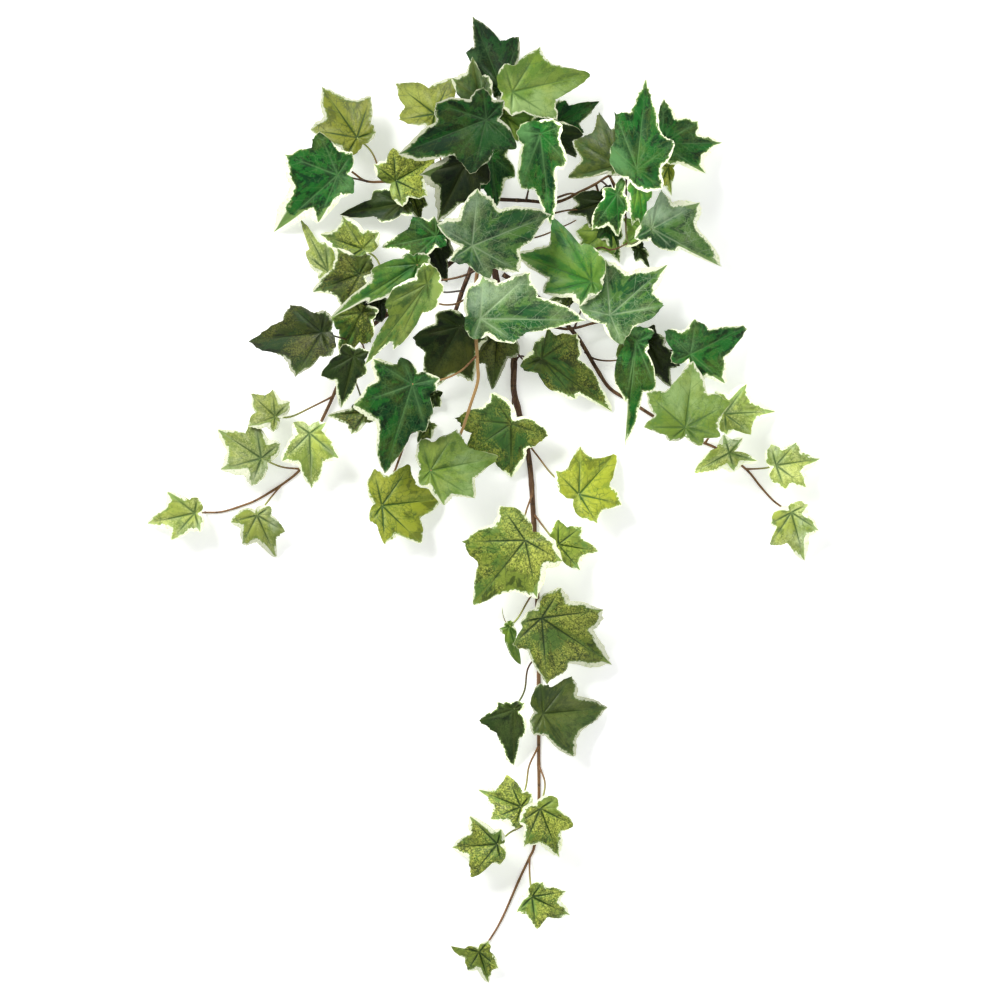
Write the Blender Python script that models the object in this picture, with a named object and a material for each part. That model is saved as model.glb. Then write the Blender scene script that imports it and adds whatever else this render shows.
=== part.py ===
"""A cut bunch of trailing variegated ivy, laid down on a flat surface.

A woody main stem runs the whole length and ends as the longest trail. Side shoots leave it, and every
leaf is a thin lobed blade on its own stalk, whose foot comes up to a shoot. The bunch lies on z = 0, the
trail runs towards -Y, and the origin is under the middle of the bunch. Tables are in centimetres.
"""

import math
from collections import namedtuple

import bpy
import bmesh
import numpy as np
from mathutils import Vector

CM = 0.01                     # metres in a centimetre; the tables below are in centimetres

# ------------------------------------------------------------------ driving dimensions (cm)
BLADE_THICKNESS = 0.08
STALK_RADIUS = 0.065
STALK_SIDES = 5
STALK_STEP = 1.1              # distance between the rings of a stalk
SHOOT_SIDES = 7
SHOOT_STEP = 1.6              # distance between the rings of a shoot
FOOT_GAP = 0.05               # air left between a stalk's foot and the bark of its shoot
LAY_GAP = 0.26                # least height from one blade to the next one that lies over it
TRIM_LIFT = 0.45              # small leaves inside the bunch hang at least this high

BAY_DEPTH = 0.80              # radius of a bay between lobes, as a share of the straight chord
BAY_LEAST = 0.30              # and never less than this share of the two lobes beside it
LOBE_POINT = 1.25             # over 1 the lobes come to a point, and 1 makes their sides straight
NOTCH = 0.14                  # radius of the notch where the stalk comes in, as a share of the length
SHOULDER_ANGLE = math.radians(122)
SHOULDER_SHARE = 0.55         # a blade with two side lobes gets basal shoulders of this share
WIDEST_BASE = math.radians(200)

CELL = 0.25                   # side of a cell of the lie map
MAP_HALF = (27.0, 38.0)       # half of the mapped area in x and y

# ------------------------------------------------------------------ shoots
# name: radius at the start, radius at the end, route of the centre line (x, y, z)
Shoot = namedtuple("Shoot", "name start end route")

SHOOTS = [
    Shoot("main_stem", 0.30, 0.075, [
        (0.7, 28.2, 0.6), (0.5, 25.5, 0.8), (0.4, 22.5, 1.0), (0.5, 19.5, 1.1), (0.8, 16.0, 0.9),
        (2.0, 12.0, 0.6), (2.1, 9.5, 0.45), (2.1, 7.8, 0.35), (2.5, 6.1, 0.28), (3.2, 2.8, 0.24),
        (3.5, -1.0, 0.2), (3.8, -7.3, 0.17), (3.9, -13.0, 0.15), (3.9, -18.2, 0.14), (3.9, -22.2, 0.13),
        (3.6, -25.0, 0.12), (3.2, -26.0, 0.11), (2.5, -27.5, 0.1), (1.5, -29.8, 0.1), (0.9, -31.0, 0.1),
        (0.2, -32.1, 0.12)]),
    Shoot("left_shoot", 0.19, 0.07, [
        (-0.1, 19.0, 1.1), (-2.6, 16.9, 1.0), (-5.5, 14.4, 0.8), (-8.0, 12.6, 0.6), (-9.3, 11.3, 0.5),
        (-9.9, 10.0, 0.4), (-11.0, 7.3, 0.3), (-11.8, 5.6, 0.25), (-12.6, 4.0, 0.2), (-13.2, 2.3, 0.16),
        (-14.4, 1.2, 0.14), (-16.3, 0.0, 0.12), (-17.5, -0.5, 0.11), (-19.0, -0.95, 0.1),
        (-20.2, -1.0, 0.12)]),
    Shoot("right_shoot", 0.19, 0.07, [
        (1.3, 16.2, 0.9), (4.0, 14.4, 0.8), (6.5, 11.9, 0.6), (8.0, 9.5, 0.5), (9.0, 8.0, 0.4),
        (10.4, 7.1, 0.3), (12.6, 5.7, 0.24), (15.0, 4.4, 0.2), (17.0, 3.5, 0.16), (18.9, 2.1, 0.12),
        (19.9, 0.9, 0.1), (20.8, -0.1, 0.1), (21.6, -0.7, 0.12)]),
    Shoot("right_twig", 0.13, 0.07, [
        (1.5, 14.7, 1.1), (3.4, 13.0, 1.5), (5.4, 12.3, 1.7), (6.5, 12.3, 1.8), (8.0, 12.7, 1.8),
        (9.4, 12.9, 1.7), (10.3, 12.6, 1.5), (11.3, 11.7, 1.2), (12.8, 10.8, 1.0)]),
    Shoot("upper_left_shoot", 0.15, 0.08, [
        (0.0, 23.6, 1.0), (-3.0, 23.0, 1.1), (-6.7, 22.9, 1.2), (-8.5, 22.9, 1.2), (-9.6, 23.6, 1.1)]),
    Shoot("upper_right_shoot", 0.15, 0.08, [
        (0.9, 21.6, 1.1), (3.0, 21.5, 1.2), (5.2, 21.4, 1.3), (7.0, 22.2, 1.4), (8.0, 22.7, 1.5),
        (9.0, 23.3, 1.5), (10.2, 23.4, 1.4)]),
    Shoot("lower_left_shoot", 0.19, 0.08, [
        (0.2, 17.6, 1.6), (-0.7, 17.2, 2.6), (-1.2, 16.0, 2.9), (-1.6, 15.0, 2.6), (-2.2, 13.3, 1.9),
        (-3.5, 10.0, 0.9), (-5.0, 6.3, 0.5), (-6.0, 3.4, 0.3), (-6.5, 2.0, 0.2)]),
    Shoot("front_shoot", 0.15, 0.10, [
        (0.4, 17.0, 2.4), (-0.3, 16.6, 4.2), (-0.6, 15.8, 5.0), (-0.7, 13.2, 5.4), (-0.6, 11.3, 5.6),
        (-0.5, 9.5, 5.5), (-0.5, 8.4, 5.2), (-1.0, 6.8, 4.6), (-1.6, 5.0, 3.7), (-2.2, 3.7, 2.9)]),
]

# ------------------------------------------------------------------ leaves
# foot: where on the shoot the stalk starts; via: points that the stalk passes; base: where stalk and blade
# meet; tip and lobes: the points of the blade. rise: height of the tip over the base; bank: how much the
# left side is higher; fold: how much both sides are higher; droop: height that the rim gains at the full
# length from the base. solid is False for small leaves inside the bunch, which only hold their place.
Leaf = namedtuple("Leaf", "name shoot foot via base tip lobes rise bank fold droop solid")


def leaf(name, shoot, foot, base, tip, lobes, rise=-0.7, bank=0.0, fold=1.3, droop=-1.2, via=(), solid=True):
    """One row of the table, with the usual attitude of a leaf filled in."""
    return Leaf(name, shoot, foot, via, base, tip, lobes, rise, bank, fold, droop, solid)


# In the order in which they lie, the lowest first.
LEAVES_UNDER = [
    leaf("tail_leaf_60", "main_stem", (0.2, -32.1), (-0.4, -32.7), (0.3, -35.0),
         [(-2.5, -32.2), (-1.2, -34.0), (1.0, -33.9)], bank=-0.4, droop=-0.3),
    leaf("tail_leaf_59", "main_stem", (3.2, -26.0), (3.4, -28.7), (6.2, -30.1),
         [(5.9, -28.3), (4.2, -27.6), (3.7, -31.0), (2.3, -29.8)], via=[(3.25, -27.2)]),
    leaf("tail_leaf_58", "main_stem", (3.9, -22.9), (0.9, -24.9), (-2.4, -25.2),
         [(-1.1, -22.9), (1.2, -23.8), (-1.0, -27.3), (1.2, -26.3)], via=[(2.6, -23.7), (1.8, -24.1)]),
    leaf("tail_leaf_56", "main_stem", (3.9, -18.0), (2.6, -22.2), (-0.5, -21.0),
         [(1.6, -19.9), (3.4, -21.2), (0.4, -23.1), (2.2, -23.8)], via=[(3.2, -19.3), (3.0, -20.6)]),
    leaf("tail_leaf_57", "main_stem", (3.9, -19.3), (4.0, -22.3), (5.4, -25.9),
         [(6.4, -23.5), (5.2, -21.5), (2.8, -25.1), (2.5, -23.3)], via=[(4.35, -20.6)]),
    leaf("tail_leaf_55", "main_stem", (3.85, -11.4), (2.1, -15.2), (2.1, -19.3),
         [(-0.4, -16.0), (0.9, -14.6), (2.9, -17.0)], bank=-0.5, fold=0.6, via=[(3.1, -12.3), (2.85, -13.9)]),
    leaf("tail_leaf_54", "main_stem", (3.9, -14.4), (4.2, -15.5), (8.9, -15.1),
         [(6.3, -12.8), (4.0, -13.3), (6.4, -18.6), (3.5, -17.0)]),
    leaf("tail_leaf_52", "main_stem", (3.8, -6.6), (1.8, -9.2), (2.6, -12.0),
         [(1.0, -9.4), (2.3, -9.8)], bank=-0.5, fold=0.5, via=[(3.1, -7.4), (2.4, -8.6)]),
    leaf("tail_leaf_53", "main_stem", (3.85, -7.6), (4.1, -8.6), (9.2, -12.0),
         [(8.6, -8.0), (5.5, -6.4), (4.5, -13.4), (2.0, -10.5), (2.6, -8.9)], rise=-1.0),
    leaf("tail_leaf_51", "main_stem", (3.6, -1.2), (5.3, -3.3), (8.2, -3.8),
         [(7.0, -2.0), (5.3, -1.5), (6.9, -5.2), (4.8, -4.2)], via=[(4.6, -2.5)]),
    leaf("tail_leaf_50", "main_stem", (3.4, 0.2), (2.9, -3.0), (-0.8, -7.7),
         [(3.8, -7.2), (5.6, -4.5), (1.2, -0.5), (-1.7, -3.1)], rise=-1.0, via=[(2.9, -1.3)]),
    leaf("tail_leaf_49", "main_stem", (3.0, 4.0), (6.8, 0.3), (9.4, 3.2),
         [(6.9, 3.8), (5.1, 2.0), (9.9, -0.4), (8.1, -1.8)], via=[(3.8, 3.1), (5.0, 1.6)]),
    leaf("tail_leaf_46", "lower_left_shoot", (-6.5, 2.0), (-7.4, -0.5), (-3.0, 0.0),
         [(-5.4, 2.4), (-8.0, 2.1), (-4.6, -3.2), (-7.2, -3.3), (-8.2, -1.7)], via=[(-7.0, 0.8)]),
    leaf("left_leaf_41", "left_shoot", (-20.2, -1.0), (-20.9, -1.05), (-24.4, -1.8),
         [(-22.9, 0.5), (-20.7, 0.1), (-22.6, -3.0), (-20.5, -2.4)]),
    leaf("left_leaf_42", "left_shoot", (-14.9, 0.9), (-16.4, -1.2), (-15.1, -4.2),
         [(-14.4, -2.4), (-15.4, -0.6), (-18.3, -1.7), (-17.5, -3.3)], via=[(-15.5, 0.0)]),
    leaf("left_leaf_43", "left_shoot", (-13.3, 2.1), (-16.1, 2.9), (-19.3, 5.0),
         [(-19.1, 2.1), (-16.5, 5.4), (-14.7, 4.0), (-16.8, 0.9)], via=[(-14.7, 2.3)]),
    leaf("left_leaf_45", "left_shoot", (-11.0, 7.3), (-15.1, 5.9), (-16.9, 7.6),
         [(-15.3, 7.9), (-14.0, 7.0), (-17.1, 5.2), (-15.2, 4.8)], via=[(-12.5, 6.6), (-14.0, 5.9)]),
    leaf("left_leaf_44", "left_shoot", (-11.8, 5.6), (-12.6, 4.7), (-12.5, 0.7),
         [(-10.5, 2.9), (-11.4, 5.5), (-14.6, 2.7), (-13.8, 5.5)]),
    leaf("right_leaf_40", "right_shoot", (21.6, -0.7), (22.1, -1.0), (23.1, -4.5),
         [(24.1, -2.3), (23.3, -0.4), (20.6, -1.8), (20.6, -3.3)]),
    leaf("right_leaf_39", "right_shoot", (18.9, 2.1), (21.0, 2.4), (24.3, 2.9),
         [(22.5, 4.1), (20.6, 3.9), (23.2, 0.8), (21.6, 0.7)], via=[(20.2, 2.2)]),
    leaf("right_leaf_37", "right_shoot", (15.9, 4.0), (17.3, 6.1), (21.0, 6.3),
         [(18.9, 8.3), (16.6, 7.7), (19.2, 4.7), (17.4, 4.6)]),
    leaf("right_leaf_38", "right_shoot", (17.6, 3.1), (17.6, 3.3), (15.1, 1.9),
         [(17.2, 4.6), (18.6, 4.4), (19.7, 2.7), (18.0, 1.9)]),
]

LEAVES_LOW = [
    leaf("inner_leaf_24", "left_shoot", (-3.0, 16.6), (-3.9, 19.0), (-2.7, 15.6),
         [(-2.2, 17.6), (-4.9, 16.8)], solid=False),
    leaf("inner_leaf_22", "left_shoot", (-9.9, 10.0), (-8.5, 6.2), (-11.3, 6.0),
         [(-9.6, 4.6), (-9.4, 6.8)], solid=False),
    leaf("inner_leaf_19", "left_shoot", (-7.4, 13.1), (-7.6, 14.2), (-8.9, 12.2),
         [(-9.1, 13.8), (-7.4, 12.7)], solid=False),
    leaf("inner_leaf_18", "left_shoot", (-8.4, 12.3), (-8.9, 13.4), (-10.4, 10.0),
         [(-11.2, 13.0), (-8.2, 11.2)], solid=False),
    leaf("inner_leaf_20", "left_shoot", (-9.9, 10.0), (-9.4, 10.2), (-10.3, 6.5),
         [(-11.7, 8.9), (-8.5, 8.9)], solid=False),
    leaf("inner_leaf_78", "right_shoot", (5.6, 12.8), (6.5, 15.0), (4.4, 14.1),
         [(5.2, 15.2), (5.6, 13.7)], solid=False),
    leaf("inner_leaf_34", "right_twig", (11.0, 12.0), (10.6, 11.5), (9.7, 8.1),
         [(9.5, 10.2), (10.5, 9.6)], solid=False),
    leaf("inner_leaf_33", "right_twig", (11.8, 11.4), (11.6, 11.4), (13.5, 8.0),
         [(14.1, 9.6), (11.8, 8.2), (13.0, 11.6)], solid=False),
    leaf("inner_leaf_10", "upper_left_shoot", (-6.0, 22.9), (-6.0, 21.3), (-10.5, 20.5),
         [(-8.0, 22.2), (-7.5, 19.9)], bank=0.8, solid=False),
    leaf("inner_leaf_12", "left_shoot", (-2.6, 16.9), (-3.5, 18.9), (-7.4, 18.1),
         [(-5.2, 20.3), (-3.6, 20.3), (-5.2, 17.2)], solid=False),
    leaf("inner_leaf_74", "upper_right_shoot", (7.0, 22.2), (8.7, 21.4), (6.0, 20.6),
         [(6.3, 21.7), (7.6, 19.5)], solid=False),
    leaf("inner_leaf_76", "upper_right_shoot", (9.0, 23.3), (11.5, 19.3), (9.9, 18.2),
         [(10.0, 20.2), (11.2, 20.4)], solid=False),
    leaf("inner_leaf_69", "upper_right_shoot", (10.2, 23.4), (13.2, 23.9), (13.5, 21.8),
         [(12.6, 22.4), (13.6, 23.0)], solid=False),
    leaf("inner_leaf_66", "main_stem", (0.6, 27.0), (1.4, 27.6), (4.7, 25.3),
         [(3.6, 27.5), (2.4, 25.7)], solid=False),
    leaf("inner_leaf_62", "main_stem", (0.6, 27.0), (4.6, 26.7), (8.3, 28.7),
         [(5.4, 28.8), (7.0, 26.3)], solid=False),
    leaf("inner_leaf_63", "upper_right_shoot", (4.0, 21.5), (4.5, 26.6), (6.6, 24.6),
         [(7.1, 26.2), (4.8, 24.9)], solid=False),
    leaf("inner_leaf_9", "main_stem", (0.5, 24.0), (0.5, 24.7), (0.9, 21.1),
         [(2.2, 23.2), (-1.2, 22.2)], solid=False),
    leaf("inner_leaf_30", "main_stem", (1.7, 13.0), (0.9, 12.2), (0.6, 7.9),
         [(2.5, 10.4), (-0.8, 9.8)], solid=False),
    leaf("crown_leaf_1", "upper_left_shoot", (-7.4, 22.9), (-9.2, 26.0), (-11.8, 29.8),
         [(-8.2, 29.0), (-7.8, 26.4), (-12.6, 26.6), (-10.0, 24.6)], via=[(-8.1, 24.9)], rise=-1.2),
    leaf("crown_leaf_4", "upper_left_shoot", (-3.0, 23.0), (-3.6, 27.7), (-6.5, 30.0),
         [(-2.4, 30.3), (-6.2, 27.3), (-3.8, 26.4)], rise=-1.4),
    leaf("crown_leaf_13", "left_shoot", (-7.0, 13.3), (-8.8, 18.0), (-11.9, 19.1),
         [(-10.3, 20.4), (-7.6, 19.2), (-10.6, 16.8)], via=[(-7.6, 16.9)], rise=-1.2),
    leaf("crown_leaf_14", "left_shoot", (-8.0, 12.6), (-9.0, 16.1), (-12.4, 14.9),
         [(-10.6, 18.0), (-8.2, 17.5), (-10.2, 13.7)], rise=-1.4),
    leaf("crown_leaf_3", "upper_left_shoot", (-5.6, 22.9), (-6.4, 22.9), (-3.6, 24.5),
         [(-6.6, 25.3), (-8.0, 24.1), (-4.1, 21.8), (-5.9, 21.0)]),
    leaf("crown_leaf_17", "left_shoot", (-9.3, 11.3), (-11.7, 11.9), (-17.0, 11.3),
         [(-14.0, 13.9), (-11.4, 13.5), (-13.6, 8.7), (-11.0, 10.2)], rise=-1.8),
    leaf("crown_leaf_23", "lower_left_shoot", (-2.2, 13.3), (-1.8, 12.4), (-4.5, 7.6),
         [(-5.2, 11.6), (-3.5, 13.3), (-0.9, 8.4), (0.2, 11.4)], rise=-1.0),
    leaf("crown_leaf_48", "main_stem", (2.1, 7.8), (1.9, 5.4), (1.9, 1.5),
         [(4.6, 4.5), (0.5, 7.6), (-2.2, 5.8), (-1.4, 3.2)], rise=-1.0),
    leaf("crown_leaf_31", "main_stem", (2.1, 10.6), (4.1, 10.1), (9.2, 6.3),
         [(6.7, 11.9), (4.5, 12.3), (6.5, 7.2)], rise=-1.3, bank=0.6, via=[(3.1, 9.8)]),
    leaf("crown_leaf_32", "right_twig", (10.3, 12.6), (10.9, 11.3), (10.1, 3.7),
         [(12.3, 8.0), (11.8, 11.0), (10.1, 6.9)], rise=-1.2, bank=-0.8, fold=0.8),
    leaf("crown_leaf_35", "right_twig", (12.8, 10.8), (14.8, 10.4), (18.8, 12.4),
         [(15.2, 12.9), (12.9, 12.1), (17.3, 8.3), (15.5, 8.2), (13.4, 9.8)], rise=-1.6),
    leaf("crown_leaf_68", "upper_right_shoot", (10.2, 23.4), (12.8, 25.5), (17.2, 25.7),
         [(15.4, 27.2), (12.9, 28.8), (16.0, 23.4), (13.4, 24.0)], rise=-1.8),
    leaf("crown_leaf_8", "main_stem", (0.4, 23.2), (-1.3, 24.1), (-3.4, 19.9),
         [(-4.7, 23.2), (-2.8, 25.0), (-0.5, 20.9), (0.4, 22.8)]),
    leaf("crown_leaf_72", "upper_right_shoot", (8.5, 23.0), (9.5, 21.9), (9.65, 18.9),
         [(10.3, 20.6), (9.9, 23.1), (8.5, 22.3), (7.7, 19.3)], solid=False),
    leaf("crown_leaf_70", "upper_right_shoot", (10.2, 23.4), (11.0, 23.0), (11.5, 19.3),
         [(12.0, 21.6), (10.2, 22.3), (10.6, 19.6)], fold=0.6, solid=False),
]

LEAVES_FRONT = [
    leaf("crown_leaf_71", "upper_right_shoot", (10.2, 23.4), (12.0, 19.4), (17.1, 16.7),
         [(15.5, 21.3), (12.7, 22.2), (13.7, 17.8)], rise=-2.0, via=[(10.3, 18.5)]),
    leaf("crown_leaf_64", "upper_right_shoot", (9.0, 23.3), (9.6, 23.9), (6.0, 23.1),
         [(6.4, 25.8), (8.2, 27.8), (9.5, 26.7), (10.0, 24.6), (9.1, 23.2)], fold=0.6),
    leaf("crown_leaf_29", "right_twig", (8.0, 12.7), (9.0, 13.2), (13.2, 16.9),
         [(8.7, 17.2), (6.8, 13.7), (12.9, 13.9), (9.9, 11.1)], rise=-1.0),
    leaf("crown_leaf_2", "upper_left_shoot", (-8.5, 22.9), (-10.6, 23.3), (-15.3, 19.2),
         [(-14.5, 24.8), (-11.9, 26.4), (-9.5, 24.9), (-12.0, 19.9), (-9.4, 22.0)], rise=-2.0),
    leaf("crown_leaf_7", "main_stem", (0.7, 28.2), (1.2, 29.5), (-0.9, 34.9),
         [(2.5, 33.3), (2.5, 30.4), (-1.4, 32.2), (-0.2, 29.8)], rise=-2.2),
    leaf("crown_leaf_5", "main_stem", (0.6, 26.8), (-0.3, 28.5), (-0.9, 31.8),
         [(-2.4, 30.3), (0.3, 30.4)], rise=-0.2, solid=False),
    leaf("crown_leaf_36", "right_shoot", (13.6, 5.1), (14.4, 5.1), (15.0, 9.9),
         [(11.6, 7.6), (11.4, 5.1), (13.2, 4.1), (17.6, 6.9), (16.9, 4.5), (15.6, 3.8)], rise=-1.4),
    leaf("crown_leaf_47", "front_shoot", (-2.2, 3.7), (-3.9, 2.0), (1.0, 3.0),
         [(-2.0, 5.0), (-4.6, 4.3), (-4.7, 1.0), (-2.9, -0.5), (-0.7, 0.0)], rise=-0.6),
    leaf("crown_leaf_21", "front_shoot", (-0.5, 10.3), (-5.2, 8.2), (-7.2, 1.8),
         [(-4.2, 4.9), (-3.2, 8.6), (-5.9, 10.1), (-8.0, 10.0), (-9.4, 6.7)], rise=-2.0,
         via=[(-1.8, 9.1), (-3.2, 8.5)]),
    leaf("crown_leaf_61", "main_stem", (0.6, 26.8), (2.0, 29.2), (7.6, 30.6),
         [(4.0, 32.5), (1.4, 31.2), (5.0, 27.3), (1.9, 27.5)], rise=-1.8),
    leaf("crown_leaf_65", "upper_right_shoot", (3.0, 21.5), (4.0, 26.2), (4.75, 19.7),
         [(5.9, 24.2), (5.6, 26.8), (2.3, 26.4), (2.6, 22.3)], fold=-0.9, rise=-1.4),
    leaf("crown_leaf_67", "upper_right_shoot", (10.2, 23.4), (10.9, 23.6), (11.6, 30.2),
         [(9.3, 27.8), (9.0, 25.2), (13.6, 25.5), (12.7, 22.2)], rise=-1.6),
    leaf("crown_leaf_15", "front_shoot", (-0.6, 14.6), (-4.8, 16.7), (-11.1, 12.9),
         [(-7.9, 16.5), (-5.6, 17.5), (-8.4, 13.9), (-5.2, 15.0)], rise=-2.0, bank=-0.8,
         via=[(-2.3, 13.9), (-3.8, 14.3)]),
    leaf("crown_leaf_16", "lower_left_shoot", (-1.55, 15.1), (-4.1, 15.3), (-8.6, 9.5),
         [(-7.1, 13.8), (-4.3, 16.8), (-6.5, 10.6), (-3.8, 13.4)], rise=-1.8, fold=0.9, via=[(-3.0, 14.8)]),
    leaf("crown_leaf_27", "right_twig", (6.5, 12.3), (7.7, 15.6), (2.3, 17.6),
         [(5.0, 20.2), (7.6, 18.2), (4.2, 14.8), (6.8, 13.8), (8.0, 14.6)], rise=-1.0),
    leaf("crown_leaf_28", "front_shoot", (-0.7, 13.6), (-0.3, 12.9), (7.3, 12.8),
         [(3.3, 16.2), (-0.1, 16.0), (2.2, 11.2), (-0.8, 11.4)], rise=-1.5, bank=0.5),
    leaf("crown_leaf_6", "main_stem", (0.5, 25.6), (0.1, 27.1), (-6.2, 24.7),
         [(-3.5, 28.3), (-0.1, 29.4), (1.4, 28.4), (2.3, 25.1), (-0.8, 23.3)], rise=-1.8),
    leaf("crown_leaf_26", "main_stem", (0.5, 19.5), (-0.9, 18.1), (4.8, 20.4),
         [(-0.5, 22.2), (-3.4, 19.6), (-2.5, 17.0), (0.2, 15.8), (2.5, 16.2)], rise=-1.2),
]


# ------------------------------------------------------------------ blades
def lobe_points(row):
    """Angle from the midrib and length of every lobe, counter-clockwise from the notch."""
    base = Vector(row.base)
    midrib = Vector(row.tip) - base
    heading = math.atan2(midrib.y, midrib.x)
    points = []
    for lobe in [row.tip] + list(row.lobes):
        arm = Vector(lobe) - base
        turn = math.atan2(arm.y, arm.x) - heading
        points.append(((turn + math.pi) % math.tau - math.pi, arm.length))
    points.sort()
    if points[0][0] + math.tau - points[-1][0] > WIDEST_BASE:
        shoulder = SHOULDER_SHARE * (points[0][1] + points[-1][1]) / 2
        points = [(-SHOULDER_ANGLE, shoulder)] + points + [(SHOULDER_ANGLE, shoulder)]
    return points, heading, midrib.length


def rim(row, steps):
    """Rim of a blade as angles from the midrib and radii, with `steps` points from each tip to a bay."""
    points, heading, length = lobe_points(row)
    angles, radii = [], []
    for index, (angle, radius) in enumerate(points):
        last = index == len(points) - 1
        next_angle, next_radius = points[0] if last else points[index + 1]
        next_angle += math.tau if last else 0.0
        gap = next_angle - angle
        chord = 2 * radius * next_radius * math.cos(gap / 2) / (radius + next_radius)
        bay = max(BAY_DEPTH * chord, BAY_LEAST * (radius + next_radius) / 2)
        if last:
            bay = NOTCH * length
        middle = angle + gap / 2
        for step in range(2 * steps):
            share = abs(1 - step / steps)
            end_angle, end_radius = (angle, radius) if step < steps else (next_angle, next_radius)
            angles.append(middle + (end_angle - middle) * share)
            radii.append(bay + (end_radius - bay) * share ** LOBE_POINT)
    return np.array(angles), np.array(radii), heading, length


def blade_surface(row, steps, shares):
    """Middle surface of a blade, one row of points for each share of the way from the base to the rim."""
    angles, radii, heading, length = rim(row, steps)
    reach = np.outer(shares, radii)
    along = reach * np.cos(angles) / length
    across = reach * np.sin(angles) / length
    tilt = row.rise * along + row.bank * across
    height = tilt + row.fold * np.abs(across) + row.droop * (reach / length) ** 2
    x = row.base[0] + reach * np.cos(angles + heading)
    y = row.base[1] + reach * np.sin(angles + heading)
    return x, y, height


# ------------------------------------------------------------------ how the pieces lie on each other
class LieMap:
    """Height of what already lies at each place, on a square grid."""

    def __init__(self):
        self.top = np.zeros([int(2 * half / CELL) for half in MAP_HALF])

    def cells(self, x, y):
        return ((x + MAP_HALF[0]) / CELL).astype(int), ((y + MAP_HALF[1]) / CELL).astype(int)

    def under(self, x, y):
        return self.top[self.cells(x, y)]

    def lay(self, x, y, height):
        column, line = self.cells(x, y)
        for side in (-1, 0, 1):
            for end in (-1, 0, 1):
                np.maximum.at(self.top, (column + side, line + end), height)


MAP_SHARES = np.linspace(0.0, 1.0, 25)
MAP_STEPS = 12


def settle(row, lie_map):
    """Height of the blade's base when the leaf lies on what is under it; the map takes the leaf in."""
    x, y, height = blade_surface(row, MAP_STEPS, MAP_SHARES)
    floor = LAY_GAP / 2 if row.solid else TRIM_LIFT
    support = np.maximum(lie_map.under(x, y) + LAY_GAP, floor)
    base = float((support - height).max())
    lie_map.lay(x.ravel(), y.ravel(), (base + height).ravel())
    return base


# ------------------------------------------------------------------ tubes
def smooth_route(points, step):
    """Points about `step` apart on a smooth curve through the given ones."""
    points = [Vector(point) for point in points]
    ends = [2 * points[0] - points[1]] + points + [2 * points[-1] - points[-2]]
    route = []
    for before, start, end, after in zip(ends, ends[1:], ends[2:], ends[3:]):
        count = max(1, round((end - start).length / step))
        for index in range(count):
            t = index / count
            bend = (2 * before - 5 * start + 4 * end - after) * t * t
            twist = (3 * start - before - 3 * end + after) * t ** 3
            route.append(0.5 * (2 * start + (end - before) * t + bend + twist))
    return route + [points[-1]]


def tube(name, route, start_radius, end_radius, sides):
    """Closed round tube along a route, tapering from one radius to the other."""
    mesh = bmesh.new()
    rings = []
    normal = Vector((0.0, 0.0, 1.0))
    for index, point in enumerate(route):
        ahead = route[min(index + 1, len(route) - 1)] - route[max(index - 1, 0)]
        ahead.normalize()
        if abs(normal.dot(ahead)) > 0.95:
            normal = Vector((1.0, 0.0, 0.0))
        normal = (normal - ahead * normal.dot(ahead)).normalized()
        side = ahead.cross(normal)
        radius = start_radius + (end_radius - start_radius) * index / (len(route) - 1)
        turns = [math.tau * corner / sides for corner in range(sides)]
        rings.append([mesh.verts.new((point + radius * (math.cos(turn) * normal + math.sin(turn) * side)) * CM)
                      for turn in turns])
    for ring, following in zip(rings, rings[1:]):
        for corner in range(sides):
            after = (corner + 1) % sides
            mesh.faces.new((ring[corner], ring[after], following[after], following[corner]))
    mesh.faces.new(reversed(rings[0]))
    mesh.faces.new(rings[-1])
    return finish_mesh(name, mesh)


def finish_mesh(name, mesh):
    """Scene object of a bmesh, with its faces pointing out and shaded smooth."""
    bmesh.ops.recalc_face_normals(mesh, faces=mesh.faces)
    data = bpy.data.meshes.new(name)
    mesh.to_mesh(data)
    mesh.free()
    data.shade_smooth()
    piece = bpy.data.objects.new(name, data)
    bpy.context.collection.objects.link(piece)
    return piece


def surface_material(piece, colour, roughness):
    """Plain finish of one piece."""
    material = bpy.data.materials.new(piece.name)
    material.use_nodes = True
    shader = material.node_tree.nodes["Principled BSDF"]
    shader.inputs["Base Color"].default_value = (*colour, 1.0)
    shader.inputs["Roughness"].default_value = roughness
    piece.data.materials.append(material)


# ------------------------------------------------------------------ pieces
BARK = (0.10, 0.055, 0.03)
LEAF_TONES = {"crown": (0.05, 0.17, 0.05), "tail": (0.22, 0.34, 0.08), "left": (0.36, 0.42, 0.14),
              "right": (0.36, 0.42, 0.14)}
BIG_LEAF = 4.2                # blades longer than this get a middle ring


def build_shoot(shoot, lie_map):
    """A shoot as one tapering tube, entered in the lie map."""
    route = smooth_route(shoot.route, SHOOT_STEP)
    piece = tube(shoot.name, route, shoot.start, shoot.end, SHOOT_SIDES)
    surface_material(piece, BARK, 0.7)
    fine = smooth_route(shoot.route, CELL)
    x, y, z = np.array([tuple(point) for point in fine]).T
    lie_map.lay(x, y, z + shoot.start)


def nearest_on_shoot(shoot, foot):
    """Point of the centre line nearest to a place seen from above, the heading and the radius there."""
    route = smooth_route(shoot.route, CELL)
    index = min(range(len(route)), key=lambda item: (route[item].xy - Vector(foot)).length)
    heading = route[min(index + 1, len(route) - 1)] - route[max(index - 1, 0)]
    radius = shoot.start + (shoot.end - shoot.start) * index / (len(route) - 1)
    return route[index], heading.normalized(), radius


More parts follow.
